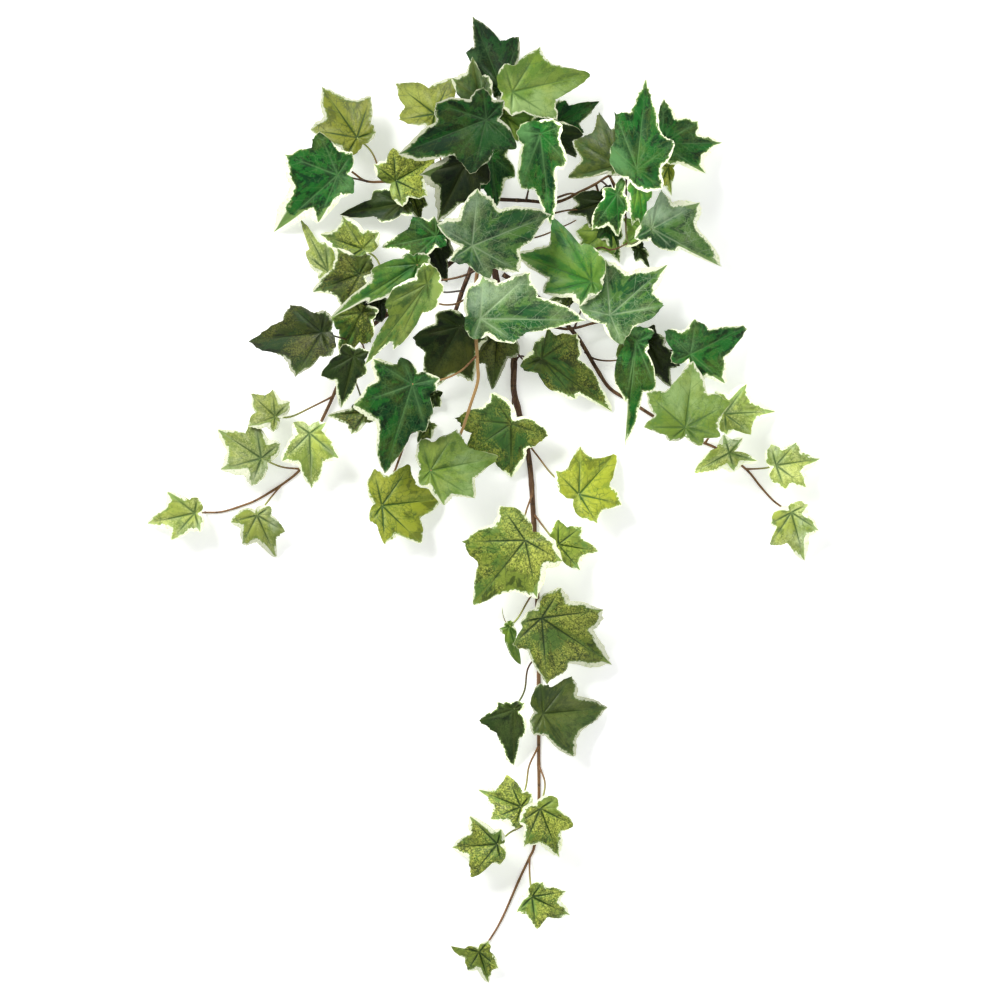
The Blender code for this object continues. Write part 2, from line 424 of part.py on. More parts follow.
def stalk_route(row, base_height):
    """Centre line of the stalk, from just outside the bark to the base of the blade."""
    shoot = next(item for item in SHOOTS if item.name == row.shoot)
    foot, heading, bark = nearest_on_shoot(shoot, row.foot)
    base = Vector((*row.base, base_height))
    plan = [foot.xy] + [Vector(point[:2]) for point in row.via] + [base.xy]
    lengths = [0.0]
    for start, end in zip(plan, plan[1:]):
        lengths.append(lengths[-1] + max((end - start).length, 0.01))
    points = []
    for place, length in zip(plan, lengths):
        share = length / lengths[-1]
        points.append(Vector((*place, foot.z + (base.z - foot.z) * share)))
    outward = points[1] - points[0]
    outward -= heading * outward.dot(heading)
    points[0] = points[0] + outward.normalized() * (bark + STALK_RADIUS + FOOT_GAP)
    return smooth_route(points, STALK_STEP)


def build_leaf(row, lie_map):
    """A leaf laid on what is under it: a thin blade and its stalk, as one solid."""
    height = settle(row, lie_map)
    if not row.solid:
        return
    length = (Vector(row.tip) - Vector(row.base)).length
    shares = np.array([0.55, 1.0] if length > BIG_LEAF else [1.0])
    x, y, z = blade_surface(row, 2, shares)
    mesh = bmesh.new()
    faces = {}
    for side in (1, -1):
        lift = height + side * BLADE_THICKNESS / 2
        middle = mesh.verts.new(Vector((*row.base, lift)) * CM)
        rings = [[mesh.verts.new(Vector((px, py, lift + pz)) * CM) for px, py, pz in zip(*ring)]
                 for ring in zip(x, y, z)]
        faces[side] = rings[-1]
        count = len(rings[0])
        for corner in range(count):
            after = (corner + 1) % count
            mesh.faces.new((middle, rings[0][corner], rings[0][after]))
            for inner, outer in zip(rings, rings[1:]):
                mesh.faces.new((inner[corner], outer[corner], outer[after], inner[after]))
    for corner in range(count):
        after = (corner + 1) % count
        mesh.faces.new((faces[1][corner], faces[-1][corner], faces[-1][after], faces[1][after]))
    blade = finish_mesh(row.name, mesh)
    surface_material(blade, LEAF_TONES[row.name.split("_")[0]], 0.45)
    route = stalk_route(row, height)
    stalk = tube(row.name + "_stalk", route, STALK_RADIUS * 1.1, STALK_RADIUS, STALK_SIDES)
    stalk.hide_render = True
    stalk.display_type = "WIRE"
    join = blade.modifiers.new("stalk", "BOOLEAN")
    join.operation = "UNION"
    join.object = stalk


def main():
    for piece in list(bpy.data.objects):
        bpy.data.objects.remove(piece)
    lie_map = LieMap()
    shoots = {shoot.name: shoot for shoot in SHOOTS}
    front = shoots.pop("front_shoot")
    for shoot in shoots.values():
        build_shoot(shoot, lie_map)
    for row in LEAVES_UNDER + LEAVES_LOW:
        build_leaf(row, lie_map)
    build_shoot(front, lie_map)
    for row in LEAVES_FRONT:
        build_leaf(row, lie_map)


main()
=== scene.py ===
"""Looks of a cut bunch of trailing variegated ivy: thin veined leaves with cream rims on brown stems."""

import math
from collections import namedtuple

import bpy
import numpy as np
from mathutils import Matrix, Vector


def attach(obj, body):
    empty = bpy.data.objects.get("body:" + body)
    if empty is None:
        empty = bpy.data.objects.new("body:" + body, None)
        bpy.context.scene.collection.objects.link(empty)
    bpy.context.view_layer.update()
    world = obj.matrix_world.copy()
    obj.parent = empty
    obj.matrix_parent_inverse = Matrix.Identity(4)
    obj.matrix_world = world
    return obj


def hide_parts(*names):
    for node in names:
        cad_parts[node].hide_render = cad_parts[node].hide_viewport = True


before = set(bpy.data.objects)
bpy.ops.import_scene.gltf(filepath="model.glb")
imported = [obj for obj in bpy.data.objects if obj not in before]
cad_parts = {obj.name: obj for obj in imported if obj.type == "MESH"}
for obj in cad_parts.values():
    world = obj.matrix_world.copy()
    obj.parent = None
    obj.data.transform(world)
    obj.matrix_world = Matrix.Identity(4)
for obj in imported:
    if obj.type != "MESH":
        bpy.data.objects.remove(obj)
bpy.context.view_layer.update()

CM = 0.01                     # metres in a centimetre; the tables below are in centimetres

# ------------------------------------------------------------------ dimensions (cm)
BLADE_THICKNESS = 0.05
STALK_RADIUS = 0.07
STALK_SIDES = 10
STALK_STEP = 0.3
SHOOT_SIDES = 14
SHOOT_STEP = 0.22
FOOT_SINK = 0.03              # how deep a stalk's foot sits in the bark
LAY_GAP = 0.26                # least height from one blade to the next one that lies over it
TRIM_LIFT = 0.45              # small leaves inside the bunch hang at least this high

BAY_DEPTH = 0.80              # radius of a bay between lobes, as a share of the straight chord
BAY_LEAST = 0.30              # and never less than this share of the two lobes beside it
LOBE_POINT = 1.25             # over 1 the lobes come to a point, and 1 makes their sides straight
NOTCH = 0.14                  # radius of the notch where the stalk comes in, as a share of the length
SHOULDER_ANGLE = math.radians(122)
SHOULDER_SHARE = 0.55         # a blade with two side lobes gets basal shoulders of this share
WIDEST_BASE = math.radians(200)

CELL = 0.25                   # side of a cell of the lie map
MAP_HALF = (27.0, 38.0)       # half of the mapped area in x and y
MAP_SHARES = np.linspace(0.0, 1.0, 25)
MAP_STEPS = 12

RIM_STEPS = 13                # points from a lobe tip to the bay beside it
RINGS = np.array([0.05, 0.12, 0.2, 0.29, 0.38, 0.47, 0.56, 0.65, 0.73, 0.81, 0.88, 0.94, 0.98, 1.0])
VEIN_GROOVE = 0.05            # depth of the groove over a main vein
VEIN_GROOVE_WIDTH = 0.16
PILLOW = 0.085                # how far the blade bulges between its veins
RIPPLE = 0.05                 # height of the waves along the rim
CURL = 0.10                   # how far a lobe tip may bend up or down
BITE = 0.011                  # small bites in the rim, as a share of the radius
SWAY = 0.018                  # slow waves in the outline, as a share of the radius
TONE_SPREAD = 0.06            # how much the brightness of the leaves varies by chance
JOINT_STEP = 2.9              # from one old leaf joint of a shoot to the next
SEED = 11

# ------------------------------------------------------------------ shoots
# name: radius at the start, radius at the end, route of the centre line (x, y, z)
Shoot = namedtuple("Shoot", "name start end route")

SHOOTS = [
    Shoot("main_stem", 0.30, 0.075, [
        (0.7, 28.2, 0.6), (0.5, 25.5, 0.8), (0.4, 22.5, 1.0), (0.5, 19.5, 1.1), (0.8, 16.0, 0.9),
        (2.0, 12.0, 0.6), (2.1, 9.5, 0.45), (2.1, 7.8, 0.35), (2.5, 6.1, 0.28), (3.2, 2.8, 0.24),
        (3.5, -1.0, 0.2), (3.8, -7.3, 0.17), (3.9, -13.0, 0.15), (3.9, -18.2, 0.14), (3.9, -22.2, 0.13),
        (3.6, -25.0, 0.12), (3.2, -26.0, 0.11), (2.5, -27.5, 0.1), (1.5, -29.8, 0.1), (0.9, -31.0, 0.1),
        (0.2, -32.1, 0.12)]),
    Shoot("left_shoot", 0.19, 0.07, [
        (-0.1, 19.0, 1.1), (-2.6, 16.9, 1.0), (-5.5, 14.4, 0.8), (-8.0, 12.6, 0.6), (-9.3, 11.3, 0.5),
        (-9.9, 10.0, 0.4), (-11.0, 7.3, 0.3), (-11.8, 5.6, 0.25), (-12.6, 4.0, 0.2), (-13.2, 2.3, 0.16),
        (-14.4, 1.2, 0.14), (-16.3, 0.0, 0.12), (-17.5, -0.5, 0.11), (-19.0, -0.95, 0.1),
        (-20.2, -1.0, 0.12)]),
    Shoot("right_shoot", 0.19, 0.07, [
        (1.3, 16.2, 0.9), (4.0, 14.4, 0.8), (6.5, 11.9, 0.6), (8.0, 9.5, 0.5), (9.0, 8.0, 0.4),
        (10.4, 7.1, 0.3), (12.6, 5.7, 0.24), (15.0, 4.4, 0.2), (17.0, 3.5, 0.16), (18.9, 2.1, 0.12),
        (19.9, 0.9, 0.1), (20.8, -0.1, 0.1), (21.6, -0.7, 0.12)]),
    Shoot("right_twig", 0.13, 0.07, [
        (1.5, 14.7, 1.1), (3.4, 13.0, 1.5), (5.4, 12.3, 1.7), (6.5, 12.3, 1.8), (8.0, 12.7, 1.8),
        (9.4, 12.9, 1.7), (10.3, 12.6, 1.5), (11.3, 11.7, 1.2), (12.8, 10.8, 1.0)]),
    Shoot("upper_left_shoot", 0.15, 0.08, [
        (0.0, 23.6, 1.0), (-3.0, 23.0, 1.1), (-6.7, 22.9, 1.2), (-8.5, 22.9, 1.2), (-9.6, 23.6, 1.1)]),
    Shoot("upper_right_shoot", 0.15, 0.08, [
        (0.9, 21.6, 1.1), (3.0, 21.5, 1.2), (5.2, 21.4, 1.3), (7.0, 22.2, 1.4), (8.0, 22.7, 1.5),
        (9.0, 23.3, 1.5), (10.2, 23.4, 1.4)]),
    Shoot("lower_left_shoot", 0.19, 0.08, [
        (0.2, 17.6, 1.6), (-0.7, 17.2, 2.6), (-1.2, 16.0, 2.9), (-1.6, 15.0, 2.6), (-2.2, 13.3, 1.9),
        (-3.5, 10.0, 0.9), (-5.0, 6.3, 0.5), (-6.0, 3.4, 0.3), (-6.5, 2.0, 0.2)]),
    Shoot("front_shoot", 0.15, 0.10, [
        (0.4, 17.0, 2.4), (-0.3, 16.6, 4.2), (-0.6, 15.8, 5.0), (-0.7, 13.2, 5.4), (-0.6, 11.3, 5.6),
        (-0.5, 9.5, 5.5), (-0.5, 8.4, 5.2), (-1.0, 6.8, 4.6), (-1.6, 5.0, 3.7), (-2.2, 3.7, 2.9)]),
]

# ------------------------------------------------------------------ leaves
# foot: where on the shoot the stalk starts; via: points that the stalk passes; base: where stalk and blade
# meet; tip and lobes: the points of the blade. rise: height of the tip over the base; bank: how much the
# left side is higher; fold: how much both sides are higher; droop: height that the rim gains at the full
# length from the base. solid is False for small leaves inside the bunch, which only hold their place.
# How a leaf differs from its finish: tone is its brightness, partly its own colour and partly painted
# shade and light for where it lies; cream: direction in degrees from +X and width of the broad side of the
# cream rim;
# light: direction and strength of the side painted paler as if lit (with a painted sheen), the other side
# painted darker as if shaded.
Leaf = namedtuple(
    "Leaf", "name finish shoot foot base tip lobes rise bank fold droop via solid tone cream light",
    defaults=(-0.7, 0.0, 1.3, -1.2, (), True, 1.0, (0, 0.0), (0, 0.0)))


def trim(*row, **details):
    """A small leaf inside the bunch."""
    return Leaf(*row, solid=False, **details)


def filler(height, *row):
    """A flat leaf deep inside the bunch, after the height of its blade's base."""
    return height, trim(*row, rise=0.0, fold=0.5, droop=-0.4)


# In the order in which they lie, the lowest first.
LEAVES_UNDER = [
    Leaf("tail_leaf_60", "mosaic", "main_stem", (0.2, -32.1), (-0.4, -32.7), (0.3, -35),
         [(-2.5, -32.2), (-1.2, -34), (1, -33.9)], bank=-0.4, droop=-0.3, tone=1.2),
    Leaf("tail_leaf_59", "mosaic", "main_stem", (3.2, -26), (3.4, -28.7), (6.2, -30.1),
         [(5.9, -28.3), (4.2, -27.6), (3.7, -31), (2.3, -29.8)], via=[(3.25, -27.2)], tone=1.5,
         cream=(200, 0.17), light=(90, 0.3)),
    Leaf("tail_leaf_58", "mosaic", "main_stem", (3.9, -22.9), (0.9, -24.9), (-2.4, -25.2),
         [(-1.1, -22.9), (1.2, -23.8), (-1, -27.3), (1.2, -26.3)], via=[(2.6, -23.7), (1.8, -24.1)],
         cream=(90, 0.17), light=(0, 0.3)),
    Leaf("tail_leaf_56", "mosaic", "main_stem", (3.9, -18), (2.6, -22.2), (-0.5, -21),
         [(1.6, -19.9), (3.4, -21.2), (0.4, -23.1), (2.2, -23.8)], via=[(3.2, -19.3), (3, -20.6)],
         tone=1.2, cream=(0, 0.17), light=(140, 0.3)),
    Leaf("tail_leaf_57", "mosaic", "main_stem", (3.9, -19.3), (4, -22.3), (5.4, -25.9),
         [(6.4, -23.5), (5.2, -21.5), (2.8, -25.1), (2.5, -23.3)], via=[(4.35, -20.6)], tone=1.3,
         cream=(200, 0.19), light=(20, 0.3)),
    Leaf("tail_leaf_55", "shadow", "main_stem", (3.85, -11.4), (2.1, -15.2), (2.1, -19.3),
         [(-0.4, -16), (0.9, -14.6), (2.9, -17)], bank=-0.5, fold=0.6, via=[(3.1, -12.3), (2.85, -13.9)],
         tone=1.8, cream=(0, 0.14)),
    Leaf("tail_leaf_54", "moss", "main_stem", (3.9, -14.4), (4.2, -15.5), (8.9, -15.1),
         [(6.3, -12.8), (4, -13.3), (6.4, -18.6), (3.5, -17)], tone=0.7, cream=(-80, 0.14),
         light=(0, 0.3)),
    Leaf("tail_leaf_52", "lime", "main_stem", (3.8, -6.6), (1.8, -9.2), (2.6, -12),
         [(1, -9.4), (2.3, -9.8)], bank=-0.5, fold=0.5, via=[(3.1, -7.4), (2.4, -8.6)], tone=1.1),
    Leaf("tail_leaf_53", "mosaic", "main_stem", (3.85, -7.6), (4.1, -8.6), (9.2, -12),
         [(8.6, -8), (5.5, -6.4), (4.5, -13.4), (2, -10.5), (2.6, -8.9)], rise=-1, tone=0.85,
         cream=(20, 0.28), light=(180, 0.3)),
    Leaf("tail_leaf_51", "mosaic", "main_stem", (3.6, -1.2), (5.3, -3.3), (8.2, -3.8),
         [(7, -2), (5.3, -1.5), (6.9, -5.2), (4.8, -4.2)], via=[(4.6, -2.5)], tone=1.7),
    Leaf("tail_leaf_50", "mosaic", "main_stem", (3.4, 0.2), (2.9, -3), (-0.8, -7.7),
         [(3.8, -7.2), (5.6, -4.5), (1.2, -0.5), (-1.7, -3.1)], rise=-1, via=[(2.9, -1.3)], tone=1.1,
         cream=(-50, 0.25), light=(100, 0.4)),
    Leaf("tail_leaf_49", "gold", "main_stem", (3, 4), (6.8, 0.3), (9.4, 3.2),
         [(6.9, 3.8), (5.1, 2), (9.9, -0.4), (8.1, -1.8)], via=[(3.8, 3.1), (5, 1.6)], tone=1.4),
    Leaf("tail_leaf_46", "gold", "lower_left_shoot", (-6.5, 2), (-7.4, -0.5), (-3, 0),
         [(-5.4, 2.4), (-8, 2.1), (-4.6, -3.2), (-7.2, -3.3), (-8.2, -1.7)], via=[(-7, 0.8)]),
    Leaf("left_leaf_41", "pale", "left_shoot", (-20.2, -1), (-20.9, -1.05), (-24.4, -1.8),
         [(-22.9, 0.5), (-20.7, 0.1), (-22.6, -3), (-20.5, -2.4)], cream=(-80, 0.17), light=(-60, 0.4)),
    Leaf("left_leaf_42", "pale", "left_shoot", (-14.9, 0.9), (-16.4, -1.2), (-15.1, -4.2),
         [(-14.4, -2.4), (-15.4, -0.6), (-18.3, -1.7), (-17.5, -3.3)], via=[(-15.5, 0)], tone=0.95,
         cream=(180, 0.08), light=(0, 0.3)),
    Leaf("left_leaf_43", "pale", "left_shoot", (-13.3, 2.1), (-16.1, 2.9), (-19.3, 5),
         [(-19.1, 2.1), (-16.5, 5.4), (-14.7, 4), (-16.8, 0.9)], via=[(-14.7, 2.3)], tone=0.75,
         cream=(200, 0.22), light=(-70, 0.5)),
    Leaf("left_leaf_45", "pale", "left_shoot", (-11, 7.3), (-15.1, 5.9), (-16.9, 7.6),
         [(-15.3, 7.9), (-14, 7), (-17.1, 5.2), (-15.2, 4.8)], via=[(-12.5, 6.6), (-14, 5.9)], tone=0.7,
         cream=(-90, 0.11), light=(0, 0.4)),
    Leaf("left_leaf_44", "pale", "left_shoot", (-11.8, 5.6), (-12.6, 4.7), (-12.5, 0.7),
         [(-10.5, 2.9), (-11.4, 5.5), (-14.6, 2.7), (-13.8, 5.5)], tone=1.3, cream=(-90, 0.11),
         light=(90, 0.6)),
    Leaf("right_leaf_40", "pale", "right_shoot", (21.6, -0.7), (22.1, -1), (23.1, -4.5),
         [(24.1, -2.3), (23.3, -0.4), (20.6, -1.8), (20.6, -3.3)], tone=1.4, cream=(0, 0.08),
         light=(-60, 0.4)),
    Leaf("right_leaf_39", "pale", "right_shoot", (18.9, 2.1), (21, 2.4), (24.3, 2.9),
         [(22.5, 4.1), (20.6, 3.9), (23.2, 0.8), (21.6, 0.7)], via=[(20.2, 2.2)], tone=1.5,
         cream=(-60, 0.08), light=(90, 0.4)),
    Leaf("right_leaf_37", "pale", "right_shoot", (15.9, 4), (17.3, 6.1), (21, 6.3),
         [(18.9, 8.3), (16.6, 7.7), (19.2, 4.7), (17.4, 4.6)], tone=1.8, cream=(60, 0.17),
         light=(180, 0.5)),
    Leaf("right_leaf_38", "pale", "right_shoot", (17.6, 3.1), (17.6, 3.3), (15.1, 1.9),
         [(17.2, 4.6), (18.6, 4.4), (19.7, 2.7), (18, 1.9)], tone=1.8, cream=(-90, 0.17),
         light=(90, 0.5)),
]

LEAVES_LOW = [
    trim("inner_leaf_24", "shadow", "left_shoot", (-3, 16.6), (-3.9, 19), (-2.7, 15.6),
         [(-2.2, 17.6), (-4.9, 16.8)], tone=0.6),
    trim("inner_leaf_22", "olive", "left_shoot", (-9.9, 10), (-8.5, 6.2), (-11.3, 6),
         [(-9.6, 4.6), (-9.4, 6.8)], tone=0.7),
    trim("inner_leaf_19", "shadow", "left_shoot", (-7.4, 13.1), (-7.6, 14.2), (-8.9, 12.2),
         [(-9.1, 13.8), (-7.4, 12.7)], tone=0.4),
    trim("inner_leaf_18", "olive", "left_shoot", (-8.4, 12.3), (-8.9, 13.4), (-10.4, 10),
         [(-11.2, 13), (-8.2, 11.2)], tone=1.4),
    trim("inner_leaf_20", "shadow", "left_shoot", (-9.9, 10), (-9.4, 10.2), (-10.3, 6.5),
         [(-11.7, 8.9), (-8.5, 8.9)], tone=1.2),
    trim("inner_leaf_78", "olive", "right_shoot", (5.6, 12.8), (6.5, 15), (4.4, 14.1),
         [(5.2, 15.2), (5.6, 13.7)]),
    trim("inner_leaf_34", "moss", "right_twig", (11, 12), (10.6, 11.5), (9.7, 8.1),
         [(9.5, 10.2), (10.5, 9.6)]),
    trim("inner_leaf_33", "shadow", "right_twig", (11.8, 11.4), (11.6, 11.4), (13.5, 8),
         [(14.1, 9.6), (11.8, 8.2), (13, 11.6)], tone=0.5),
    trim("inner_leaf_10", "shadow", "upper_left_shoot", (-6, 22.9), (-6, 21.3), (-10.5, 20.5),
         [(-8, 22.2), (-7.5, 19.9)], bank=0.8, tone=1.2),
    trim("inner_leaf_12", "deep", "left_shoot", (-2.6, 16.9), (-3.5, 18.9), (-7.4, 18.1),
         [(-5.2, 20.3), (-3.6, 20.3), (-5.2, 17.2)], tone=1.3),
    trim("inner_leaf_74", "shadow", "upper_right_shoot", (7, 22.2), (8.7, 21.4), (6, 20.6),
         [(6.3, 21.7), (7.6, 19.5)], tone=0.7),
    trim("inner_leaf_76", "lime", "upper_right_shoot", (9, 23.3), (11.5, 19.3), (9.9, 18.2),
         [(10, 20.2), (11.2, 20.4)], tone=1.5),
    trim("inner_leaf_69", "gold", "upper_right_shoot", (10.2, 23.4), (13.2, 23.9), (13.5, 21.8),
         [(12.6, 22.4), (13.6, 23)], tone=1.4),
    trim("inner_leaf_66", "moss", "main_stem", (0.6, 27), (1.4, 27.6), (4.7, 25.3),
         [(3.6, 27.5), (2.4, 25.7)], tone=1.8),
    trim("inner_leaf_62", "deep", "main_stem", (0.6, 27), (4.6, 26.7), (8.3, 28.7),
         [(5.4, 28.8), (7, 26.3)]),
    trim("inner_leaf_63", "shadow", "upper_right_shoot", (4, 21.5), (4.5, 26.6), (6.6, 24.6),
         [(7.1, 26.2), (4.8, 24.9)]),
    trim("inner_leaf_9", "deep", "main_stem", (0.5, 24), (0.5, 24.7), (0.9, 21.1),
         [(2.2, 23.2), (-1.2, 22.2)], tone=1.2),
    trim("inner_leaf_30", "olive", "main_stem", (1.7, 13), (0.9, 12.2), (0.6, 7.9),
         [(2.5, 10.4), (-0.8, 9.8)], tone=0.5, cream=(-60, 0.11), light=(-60, 0.8)),
    Leaf("crown_leaf_1", "gold", "upper_left_shoot", (-7.4, 22.9), (-9.2, 26), (-11.8, 29.8),
         [(-8.2, 29), (-7.8, 26.4), (-12.6, 26.6), (-10, 24.6)], rise=-1.2, via=[(-8.1, 24.9)], tone=0.6,
         cream=(120, 0.14), light=(20, 0.3)),
    Leaf("crown_leaf_4", "gold", "upper_left_shoot", (-3, 23), (-3.6, 27.7), (-6.5, 30),
         [(-2.4, 30.3), (-6.2, 27.3), (-3.8, 26.4)], rise=-1.4, tone=0.7, light=(150, 0.4)),
    Leaf("crown_leaf_13", "mosaic", "left_shoot", (-7, 13.3), (-8.8, 18), (-11.9, 19.1),
         [(-10.3, 20.4), (-7.6, 19.2), (-10.6, 16.8)], rise=-1.2, via=[(-7.6, 16.9)], tone=0.9,
         cream=(150, 0.17), light=(0, 0.6)),
    Leaf("crown_leaf_14", "olive", "left_shoot", (-8, 12.6), (-9, 16.1), (-12.4, 14.9),
         [(-10.6, 18), (-8.2, 17.5), (-10.2, 13.7)], rise=-1.4, tone=0.85, cream=(220, 0.11),
         light=(60, 0.3)),
    Leaf("crown_leaf_3", "mosaic", "upper_left_shoot", (-5.6, 22.9), (-6.4, 22.9), (-3.6, 24.5),
         [(-6.6, 25.3), (-8, 24.1), (-4.1, 21.8), (-5.9, 21)], tone=1.15, light=(-90, 0.6)),
    Leaf("crown_leaf_17", "olive", "left_shoot", (-9.3, 11.3), (-11.7, 11.9), (-17, 11.3),
         [(-14, 13.9), (-11.4, 13.5), (-13.6, 8.7), (-11, 10.2)], rise=-1.8, tone=0.5, light=(-90, 0.4)),
    Leaf("crown_leaf_23", "shadow", "lower_left_shoot", (-2.2, 13.3), (-1.8, 12.4), (-4.5, 7.6),
         [(-5.2, 11.6), (-3.5, 13.3), (-0.9, 8.4), (0.2, 11.4)], rise=-1, tone=0.8, cream=(-90, 0.11),
         light=(-80, 0.5)),
    Leaf("crown_leaf_48", "olive", "main_stem", (2.1, 7.8), (1.9, 5.4), (1.9, 1.5),
         [(4.6, 4.5), (0.5, 7.6), (-2.2, 5.8), (-1.4, 3.2)], rise=-1, tone=1.7, cream=(60, 0.25),
         light=(120, 0.3)),
    Leaf("crown_leaf_31", "olive", "main_stem", (2.1, 10.6), (4.1, 10.1), (9.2, 6.3),
         [(6.7, 11.9), (4.5, 12.3), (6.5, 7.2)], rise=-1.3, bank=0.6, via=[(3.1, 9.8)], tone=1.5,
         light=(110, 0.4)),
    Leaf("crown_leaf_32", "deep", "right_twig", (10.3, 12.6), (10.9, 11.3), (10.1, 3.7),
         [(12.3, 8), (11.8, 11), (10.1, 6.9)], rise=-1.2, bank=-0.8, fold=0.8, tone=1.5,
         light=(100, 0.5)),
    Leaf("crown_leaf_35", "deep", "right_twig", (12.8, 10.8), (14.8, 10.4), (18.8, 12.4),
         [(15.2, 12.9), (12.9, 12.1), (17.3, 8.3), (15.5, 8.2), (13.4, 9.8)], rise=-1.6, tone=1.3,
         cream=(-60, 0.14), light=(120, 0.4)),
    Leaf("crown_leaf_68", "deep", "upper_right_shoot", (10.2, 23.4), (12.8, 25.5), (17.2, 25.7),
         [(15.4, 27.2), (12.9, 28.8), (16, 23.4), (13.4, 24)], rise=-1.8, tone=1.6, cream=(-20, 0.25),
         light=(140, 0.6)),
    Leaf("crown_leaf_8", "shadow", "main_stem", (0.4, 23.2), (-1.3, 24.1), (-3.4, 19.9),
         [(-4.7, 23.2), (-2.8, 25), (-0.5, 20.9), (0.4, 22.8)], tone=0.5, cream=(195, 0.33)),
    trim("crown_leaf_72", "deep", "upper_right_shoot", (8.5, 23), (9.5, 21.9), (9.65, 18.9),
         [(10.3, 20.6), (9.9, 23.1), (8.5, 22.3), (7.7, 19.3)], tone=2, cream=(-90, 0.11),
         light=(90, 0.3)),
    trim("crown_leaf_70", "fresh", "upper_right_shoot", (10.2, 23.4), (11, 23), (11.5, 19.3),
         [(12, 21.6), (10.2, 22.3), (10.6, 19.6)], fold=0.6, tone=1.7, light=(90, 0.3)),
]

